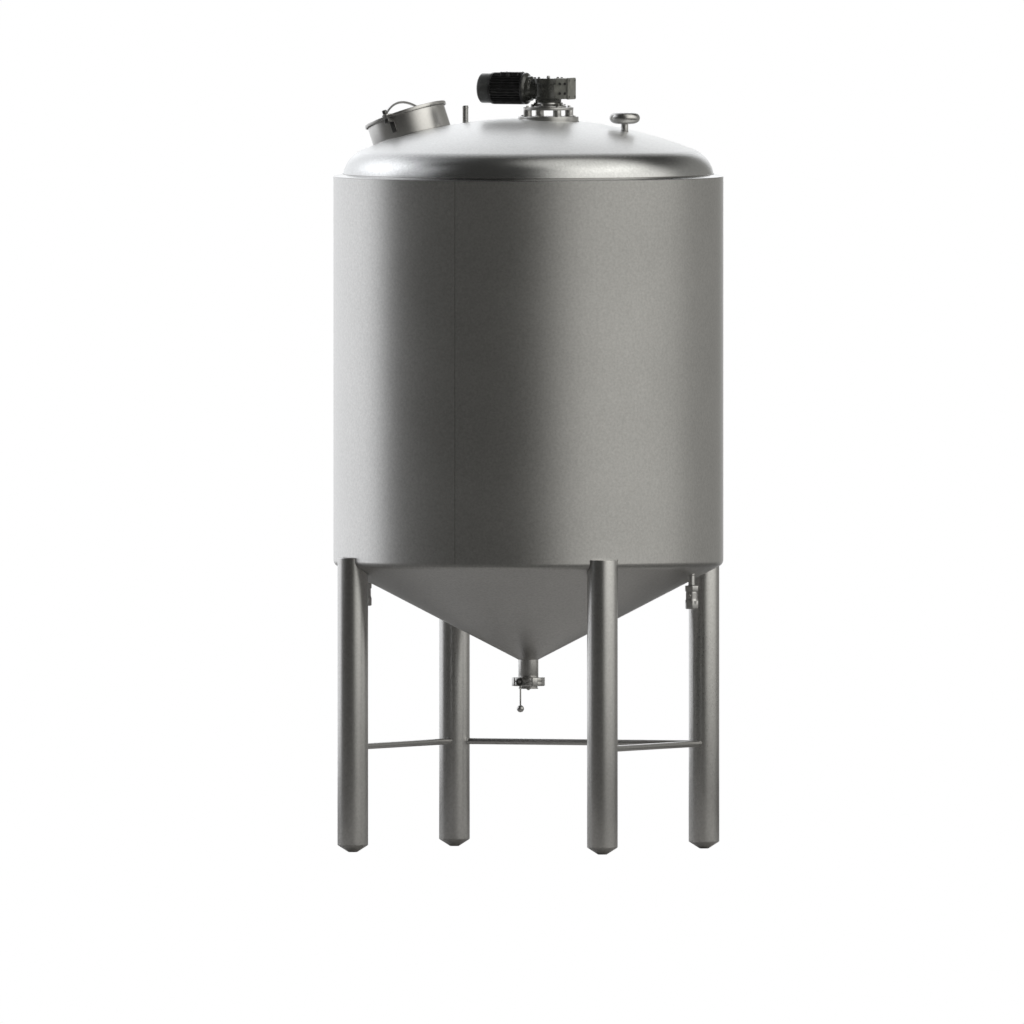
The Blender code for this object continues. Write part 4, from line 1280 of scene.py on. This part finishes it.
barrel = finned(MOTOR_RADIUS, FIN_HEIGHT, FINS, motor_low.x, motor_high.x - SHIELD, MOTOR_COLLAR)
make("motor_barrel", moved(barrel, on_motor), MOTOR, "tank", ("motor_body",), sharp=25.0)
shield_line = rounded(
    [
        (0.0, motor_high.x, 0.0),
        (MOTOR_RADIUS - SHIELD, motor_high.x, 0.003),
        (MOTOR_RADIUS - 0.001, motor_high.x - 0.011, 0.003),
        (MOTOR_RADIUS - 0.001, motor_high.x - SHIELD + GAP, 0.001),
        (0.0, motor_high.x - SHIELD + GAP, 0.0),
    ],
    4,
)
make("motor_end_shield", moved(turned(shield_line, 96), on_motor), GEARBOX, "tank", ())
report()

# %% [markdown]
# The terminal box sits on top: a base, a lid with four screws, and a gland for the cable at the front.

# %% Terminal box
box_low, box_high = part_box("motor_terminal_box")
box_wide, box_deep = box_high.x - box_low.x, box_high.y - box_low.y
gland = at(y=-0.044, z=box_high.z - 0.019) @ facing_front
lid_screws = [at(x, y, box_high.z - 0.003) for x in (-0.046, 0.046) for y in (-0.039, 0.039)]
base_line = oblong(box_wide - 0.006, box_deep - 0.006, 0.008)
terminal = joined(
    slab(base_line, MOTOR_AXIS + 0.055, box_high.z - 0.007, 0.002),
    slab(oblong(box_wide, box_deep, 0.010), box_high.z - 0.009, box_high.z - 0.0015, 0.002),
    copies(button(0.0035, 0.003), lid_screws),
    moved(round_bar(0.0095, 0.0, 0.024, 0.002), gland),
    moved(nut(0.0125, 0.004, 0.012, 0.001), gland),
)
over_motor = at(middle_x("motor_terminal_box"))
make("terminal_box", moved(terminal, over_motor), MOTOR, "tank", ("motor_terminal_box",))
report()

# %% [markdown]
# The fan's cover is a pressed cup with rings for the air to enter by. Each ring is a step in and a step out
# of the turned profile, so five of them come from one loop.

# %% Fan cover
COVER_RADIUS = 0.080
RING_STEP = 0.005
fan_low, fan_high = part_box("motor_fan_cover")
FAN_FACE = fan_low.x + 0.004
fan_line = [(0.0, FAN_FACE, 0.0)]
for radius in (0.014, 0.024, 0.034, 0.044, 0.054):
    fan_line += [(radius, FAN_FACE, 0.0005), (radius, FAN_FACE + RING_STEP, 0.0005)]
    fan_line += [(radius + 0.004, FAN_FACE + RING_STEP, 0.0005), (radius + 0.004, FAN_FACE, 0.0005)]
fan_line += [
    (COVER_RADIUS - 0.010, FAN_FACE, 0.004),
    (COVER_RADIUS, fan_low.x + 0.012, 0.006),
    (COVER_RADIUS, fan_high.x, 0.001),
    (COVER_RADIUS - 0.004, fan_high.x, 0.0),
    (0.0, fan_high.x, 0.0),
]
fan_screws = [
    place @ facing_right for place in ring_of(4, COVER_RADIUS - 0.0005, fan_high.x - 0.012, 45.0)
]
fan_parts = joined(
    turned(rounded(fan_line, 4), 96),
    moved(button(0.0085, FAN_FACE - fan_low.x), at(z=FAN_FACE) @ turn(180.0, "X")),
    copies(button(0.004, 0.002), fan_screws),
)
make("fan_cover", moved(fan_parts, on_motor), FAN_COVER, "tank", ("motor_fan_cover",))
report()

# %% [markdown]
# Between the motor and the drum sits a short adapter. It is widest at the motor's shield, with four bolts
# round its shoulder, and narrows towards the drum.

# %% Motor flange
ADAPTER_END = 0.090
ADAPTER_SHOULDER = 0.021
ADAPTER_NECK = 0.056
ADAPTER_FOOT = 0.070
adapter_line = rounded(
    [
        (0.0, ADAPTER_END, 0.0),
        (ADAPTER_NECK + 0.002, ADAPTER_END, 0.002),
        (ADAPTER_NECK, ADAPTER_SHOULDER + 0.009, 0.008),
        (ADAPTER_FOOT - 0.004, ADAPTER_SHOULDER, 0.003),
        (ADAPTER_FOOT, motor_high.x + GAP, 0.001),
        (0.0, motor_high.x + GAP, 0.0),
    ],
    4,
)
adapter_bolts = copies(bolt(0.0045, 0.0065, 1.1), ring_of(4, 0.0615, ADAPTER_SHOULDER + 0.0005, 45.0))
adapter = moved(joined(turned(adapter_line, 96), adapter_bolts), on_motor)
make("motor_flange", adapter, GEARBOX, "tank", ("motor_adapter",))
report()

# %% [markdown]
# ## Head fittings
# A closed stub tube and the vent. The vent's cap is a bun: its radius is R cos(t) to the power 0.45 at
# height h sin(t), flatter at the top than a ball and rounder at the rim than a disc. Its mouth takes the
# stem.

# %% Stub and vent
BUN_RADIUS = 0.0820
BUN_POWER = 0.45
MOUTH_RADIUS = 0.023
SOCKET_DEPTH = 0.0125
stub_low, stub_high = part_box("stub_tube")
stub = joined(
    round_bar(STUB_RADIUS, stub_low.z, stub_high.z, 0.004),
    ring_bar(STUB_RADIUS + 0.0011, 0.013, stub_high.z - 0.016, stub_high.z - 0.009),
)
make("stub", moved(stub, at(STUB_X)), BRIGHT, "tank", ("stub_tube",))


def half_turn(count):
    """Angles from straight up to straight down, with the level between them."""
    return np.linspace(math.pi / 2.0, -math.pi / 2.0, count)


cap_low, cap_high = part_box("vent_cap")
middle, half = (cap_low.z + cap_high.z) / 2.0, (cap_high.z - cap_low.z) / 2.0
t = half_turn(49)
bun_line = np.stack([BUN_RADIUS * np.maximum(np.cos(t), 0.0) ** BUN_POWER, middle + half * np.sin(t)], 1)
bun_line = bun_line[(bun_line[:, 0] > MOUTH_RADIUS + 0.001) | (t > 0.0)]
bun_line[0, 0] = 0.0
mouth = [
    (MOUTH_RADIUS, cap_low.z + 0.0002),
    (VENT_STEM + GAP, cap_low.z + 0.0002),
    (VENT_STEM + GAP, cap_low.z + SOCKET_DEPTH),
    (0.0, cap_low.z + SOCKET_DEPTH),
]
bun = turned(np.concatenate([bun_line, mouth]), 96)
make("vent_bun", moved(bun, at(VENT_X)), BRIGHT, "tank", ("vent_cap",))
stem_low, stem_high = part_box("vent_stem")
vent_pipe = ring_bar(VENT_STEM, VENT_STEM - 0.003, stem_low.z, stem_high.z)
make("vent_pipe", moved(vent_pipe, at(VENT_X)), BRIGHT, "tank", ("vent_stem",))
report()

# %% [markdown]
# ## Outlet and valve
# The valve body is two halves with a disc between them, so a groove runs round its middle and four lugs
# take the bolts that hold the halves together. A boss at the front carries the disc's stem.

# %% Outlet pipe, valve and ferrule
PIPE_RADIUS = 0.054
VALVE_AXIS = 0.909
VALVE_RADIUS = 0.088
VALVE_HALF = 0.024
VALVE_BORE = 0.050
GROOVE_RADIUS = 0.083
FERRULE_BORE = 0.047
pipe_low, pipe_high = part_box("outlet_pipe")
pipe = ring_bar(PIPE_RADIUS, PIPE_RADIUS - 0.004, pipe_low.z, pipe_high.z)
make("drain_pipe", pipe, BRIGHT, "tank", ("outlet_pipe",))

valve_line = rounded(
    [
        (VALVE_RADIUS, VALVE_HALF, 0.007),
        (VALVE_RADIUS, 0.0018, 0.002),
        (GROOVE_RADIUS, 0.0010, 0.0),
        (GROOVE_RADIUS, -0.0010, 0.0),
        (VALVE_RADIUS, -0.0018, 0.002),
        (VALVE_RADIUS, -VALVE_HALF, 0.007),
        (VALVE_BORE, -VALVE_HALF, 0.001),
        (VALVE_BORE, VALVE_HALF, 0.001),
    ],
    4,
    closed=True,
)
valve = joined(
    turned(valve_line, 128),
    copies(slab(oblong(0.018, 0.036, 0.006), -0.0225, 0.0225), ring_of(4, 0.082, 0.0, 45.0)),
    copies(nut(0.0085, 0.0, 0.006), ring_of(4, 0.079, 0.0175, 45.0)),
    moved(round_bar(0.017, 0.070, 0.100, 0.002, 48, 0.0), facing_front),
)
make("valve_halves", moved(valve, at(z=VALVE_AXIS)), BRIGHT, "tank", ("valve_body",))

ferrule_low, ferrule_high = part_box("outlet_ferrule")
ferrule_line = rounded(
    [
        (FERRULE_BORE + 0.0025, ferrule_high.z, 0.001),
        (FERRULE_BORE + 0.0025, ferrule_low.z + 0.006, 0.001),
        (FERRULE_BORE + 0.0055, ferrule_low.z + 0.0045, 0.001),
        (FERRULE_BORE + 0.0055, ferrule_low.z, 0.001),
        (FERRULE_BORE, ferrule_low.z, 0.001),
        (FERRULE_BORE, ferrule_high.z, 0.001),
    ],
    3,
    closed=True,
)
make("ferrule", turned(ferrule_line, 96), BRIGHT, "tank", ("outlet_ferrule",))
report()

# %% [markdown]
# The disc, its stem and the lever turn together, so they ride on the lever's body. The hub on the stem is
# dark; the rod and the ball that the hand takes are ground steel, so the lever is two pieces.

# %% Disc and lever
DISC_RADIUS = 0.047
DISC_HALF = 0.004
LEVER_Y = -0.114
BALL_DROP = 0.144
BALL_RADIUS = 0.0193
HUB_RADIUS = 0.0215
disc_line = rounded(
    [
        (0.0, DISC_HALF, 0.0),
        (0.020, DISC_HALF, 0.004),
        (DISC_RADIUS, 0.0018, 0.001),
        (DISC_RADIUS, -0.0018, 0.001),
        (0.020, -DISC_HALF, 0.004),
        (0.0, -DISC_HALF, 0.0),
    ],
    3,
)
disc = moved(turned(disc_line, 96), facing_right)
stem = moved(round_bar(0.008, 0.038, 0.130, 0.0015), facing_front)
make("disc_and_stem", moved(joined(disc, stem), at(z=VALVE_AXIS)), BRIGHT, "lever", ("valve_disc",))

hub = moved(ring_bar(HUB_RADIUS, 0.0085, 0.101, 0.127, 0.003), facing_front)
set_screw = moved(button(0.004, 0.003), at(HUB_RADIUS - 0.001, LEVER_Y) @ facing_right)
lever_hub = moved(joined(hub, set_screw), at(z=VALVE_AXIS))
make("lever_hub", lever_hub, DARK, "lever", ("valve_lever",))

t = half_turn(33)
ball_line = np.stack([BALL_RADIUS * np.cos(t), BALL_RADIUS * np.sin(t) - BALL_DROP], 1)
ball_line[[0, -1], 0] = 0.0
lever_parts = joined(
    round_bar(0.0045, -BALL_DROP, -0.018, 0.0005, 32),
    round_bar(0.0075, -0.031, -0.018, 0.0015, 32),
    turned(ball_line, 48),
)
make("lever_rod_and_ball", moved(lever_parts, at(y=LEVER_Y, z=VALVE_AXIS)), LEG, "lever")
report()

# %% [markdown]
# ## Jacket fittings
# On each side a pipe comes down through the cone to a union: two nuts with a waist between them. Where the
# pipe leaves the cone sheet a small weld closes the hole.

# %% Jacket unions
UNION_TOP = 1.434
UNION_NUT = 0.0375
JACKET_PIPE = 0.0175
JACKET_X = middle_x("jacket_fitting_right")
fitting_low, fitting_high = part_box("jacket_fitting_right")
waist_line = rounded(
    [
        (0.0, fitting_high.z, 0.0),
        (JACKET_PIPE, fitting_high.z, 0.001),
        (JACKET_PIPE, UNION_TOP + 0.004, 0.003),
        (0.027, UNION_TOP - 0.004, 0.003),
        (0.031, UNION_TOP - 0.040, 0.004),
        (0.031, UNION_TOP - 0.070, 0.004),
        (0.034, UNION_TOP - 0.082, 0.004),
        (0.030, fitting_low.z, 0.003),
        (0.0, fitting_low.z, 0.0),
    ],
    4,
)
union = joined(
    turned(waist_line, 64),
    nut(UNION_NUT, UNION_TOP - 0.032, UNION_TOP, 0.003, 3),
    nut(UNION_NUT, fitting_low.z + 0.002, UNION_TOP - 0.080, 0.003, 3),
    moved(round_bar(0.009, 0.020, 0.042, 0.002), at(z=UNION_TOP - 0.055) @ facing_front),
)
for side, x in (("left", -JACKET_X), ("right", JACKET_X)):
    make(f"jacket_union_{side}", moved(union, at(x)), LEG, "tank", (f"jacket_fitting_{side}",))
bend_end_x, bend_end_z = cone_outside[BEND_STEPS - 1]
cone_at_jacket = bend_end_z - (bend_end_x - JACKET_X) * math.tan(SLOPE)
collar = bead(polar(JACKET_PIPE + 0.0007, round_angles(48), cone_at_jacket), 0.0022)
collars = copies(collar, [at(x) for x in (-JACKET_X, JACKET_X)])
make("jacket_pipe_welds", collars, BEAD, "tank", ())
report()

# %% [markdown]
# ## A plain finish for what is left
# Any node that no piece stands for keeps its own solid and takes a finish by its slot.

# %% Remaining nodes
by_slot = {
    "leg_steel": LEG,
    "vessel_steel": INSIDE,
    "cladding_steel": CLADDING,
    "neck_steel": NECK,
    "dark_steel": DARK,
    "bright_steel": BRIGHT,
    "gearbox_paint": GEARBOX,
    "motor_paint": MOTOR,
    "fan_cover_paint": FAN_COVER,
}
slot_of = {entry["node"]: entry["material_slot"] for entry in frame["record"]["subparts"]}
for name, node in nodes.items():
    node.data.materials.clear()
    node.data.materials.append(by_slot[slot_of[name]])
print("finished nodes:", len(nodes))

# %% [markdown]
# ## The studio
# Bare steel shows little but its surroundings, so the studio is most of the picture. Cool walls stand
# behind the tank and reach round on the left; a warm lamp stands to the right, with a warm ceiling over it;
# and the camera's side is a dark room. The world's colour is worked out from the direction, so the light is
# soft and free of noise. The camera itself sees plain white.

# %% Directions and panels
world = bpy.data.worlds.new("studio")
world.use_nodes = True
bpy.context.scene.world = world
w = Finish(world.node_tree)
direction = w.node("ShaderNodeTexCoord", output=0)
height = w.node("ShaderNodeSeparateXYZ", output=2, Vector=direction)
flattened = w.node("ShaderNodeVectorMath", {"operation": "MULTIPLY"}, _0=direction, _1=(1.0, 1.0, 0.0))
level = w.node("ShaderNodeVectorMath", {"operation": "NORMALIZE"}, _0=flattened)


def nearness(vector, turn_degrees, rise_degrees=0.0):
    """The cosine of the angle between a vector and a direction right of the camera and above the level."""
    aimed = tuple(toward(math.radians(turn_degrees), math.radians(rise_degrees)))
    return w.node("ShaderNodeVectorMath", {"operation": "DOT_PRODUCT"}, output=1, _0=vector, _1=aimed)


def fade(cosine, full, none):
    """1 within the first angle, 0 beyond the second, from the cosine of the angle."""
    return w.step(cosine, math.cos(math.radians(none)), math.cos(math.radians(full)))


def wall(turn_degrees, full, none, bottom, top, power):
    """Light from an upright panel between two pairs of heights, each fading from its first to its second."""
    upright_part = w.step(height, *bottom) * w.step(height, *top, 1.0, 0.0)
    return fade(nearness(level, turn_degrees), full, none) * upright_part * power


def ceiling(turn_degrees, rise_degrees, full, none, power):
    """Light from a round panel overhead."""
    return fade(nearness(direction, turn_degrees, rise_degrees), full, none) * power


print("directions:", len(world.node_tree.nodes), "nodes")

# %% [markdown]
# The cool walls make the bright left side and the band along the knuckle. The warm lamp makes the soft
# light on the right, and the warm ceiling lights the crown. What no panel covers stays dark, which is the
# dark stripe down the front.

# %% World
ROOM_DARK = 0.035
ROOM_LOW = 0.060
cool = wall(-145.0, 36.0, 58.0, (-0.40, -0.05), (0.50, 1.00), 1.04)
cool = cool + wall(-105.0, 10.0, 46.0, (0.10, 0.35), (0.55, 0.85), 0.75)
cool = cool + wall(-182.0, 6.0, 22.0, (0.05, 0.20), (0.62, 0.80), 0.40)
warm = ROOM_DARK + w.step(height, -0.10, 0.28, ROOM_LOW, 0.0)
warm = warm + wall(58.0, 6.0, 58.0, (-0.24, 0.28), (0.55, 0.95), 1.18)
warm = warm + wall(135.0, 15.0, 60.0, (-0.8, -0.2), (0.30, 0.70), 0.22)
warm = warm + ceiling(66.0, 62.0, 8.0, 34.0, 0.80)
sky = w.node(
    "ShaderNodeCombineColor", _0=cool * 0.985 + warm * 1.01, _1=cool + warm, _2=cool * 1.02 + warm * 0.94
)
WHITE = (1.0, 1.0, 1.0, 1.0)
lit = w.node("ShaderNodeBackground", Color=sky, Strength=1.0)
plain = w.node("ShaderNodeBackground", Color=WHITE, Strength=1.0)
seen = w.node("ShaderNodeLightPath", output=0)
w.node("ShaderNodeOutputWorld", Surface=w.node("ShaderNodeMixShader", _0=seen, _1=lit, _2=plain))
bpy.context.scene.view_settings.view_transform = "Standard"
print("world nodes:", len(world.node_tree.nodes))

# %% [markdown]
# ## The floor
# The photograph's ground is pure white and shows no floor line, yet the cone mirrors a greyer floor. So the
# floor is a pale matt disc to the camera and a darker one to its mirror images in the steel. It turns to
# plain white where it is seen almost along its surface, and towards its edge.

# %% Floor finish
NEAR = (1.2, 2.6)
EDGE = (5.0, 8.6)
ALONG = (0.90, 0.965)
floor_finish, f = new_finish("pale_floor")
dust = f.noise(f.place(), 30.0)
here = f.node("ShaderNodeTexCoord", output=3)
from_tank = f.node("ShaderNodeVectorMath", {"operation": "LENGTH"}, output=1, _0=here)
in_view = f.node("ShaderNodeLightPath", output=0)
mirrored = f.blend(f.step(from_tank, *NEAR), grey(0.52, 0.02), grey(0.20, 0.02))
shade = f.blend(in_view, mirrored, f.blend(dust, grey(0.84), grey(0.88)))
matt = f.node("ShaderNodeBsdfPrincipled", Base_Color=shade, Roughness=0.6)
white = f.node("ShaderNodeEmission", Color=WHITE, Strength=1.0)
along = f.step(f.node("ShaderNodeLayerWeight", output=1, Blend=0.5), *ALONG)
inner = (1.0 - along) * (1.0 - f.step(from_tank, *EDGE))
whitened = f.node("ShaderNodeMixShader", _0=(1.0 - inner) * in_view, _1=matt, _2=white)
f.node("ShaderNodeOutputMaterial", Surface=whitened)
print("floor nodes:", len(floor_finish.node_tree.nodes))

# %% [markdown]
# The disc itself is rings of points about the tank's axis. It belongs to the studio and not to the tank.

# %% Floor disc
FLOOR_RADIUS = 9.0
spread = polar(np.linspace(0.0, FLOOR_RADIUS, 13)[:, None], round_angles(96), 0.0)
points, faces = skin(spread)
floor_mesh = bpy.data.meshes.new("floor")
floor_mesh.from_pydata(points.tolist(), [], faces[:, ::-1].tolist())
floor_mesh.materials.append(floor_finish)
floor = bpy.data.objects.new("floor", floor_mesh)
bpy.context.scene.collection.objects.link(floor)
print("floor radius:", FLOOR_RADIUS)

# %% [markdown]
# ## Size
# The skin is meant to fill the same box as the frame.
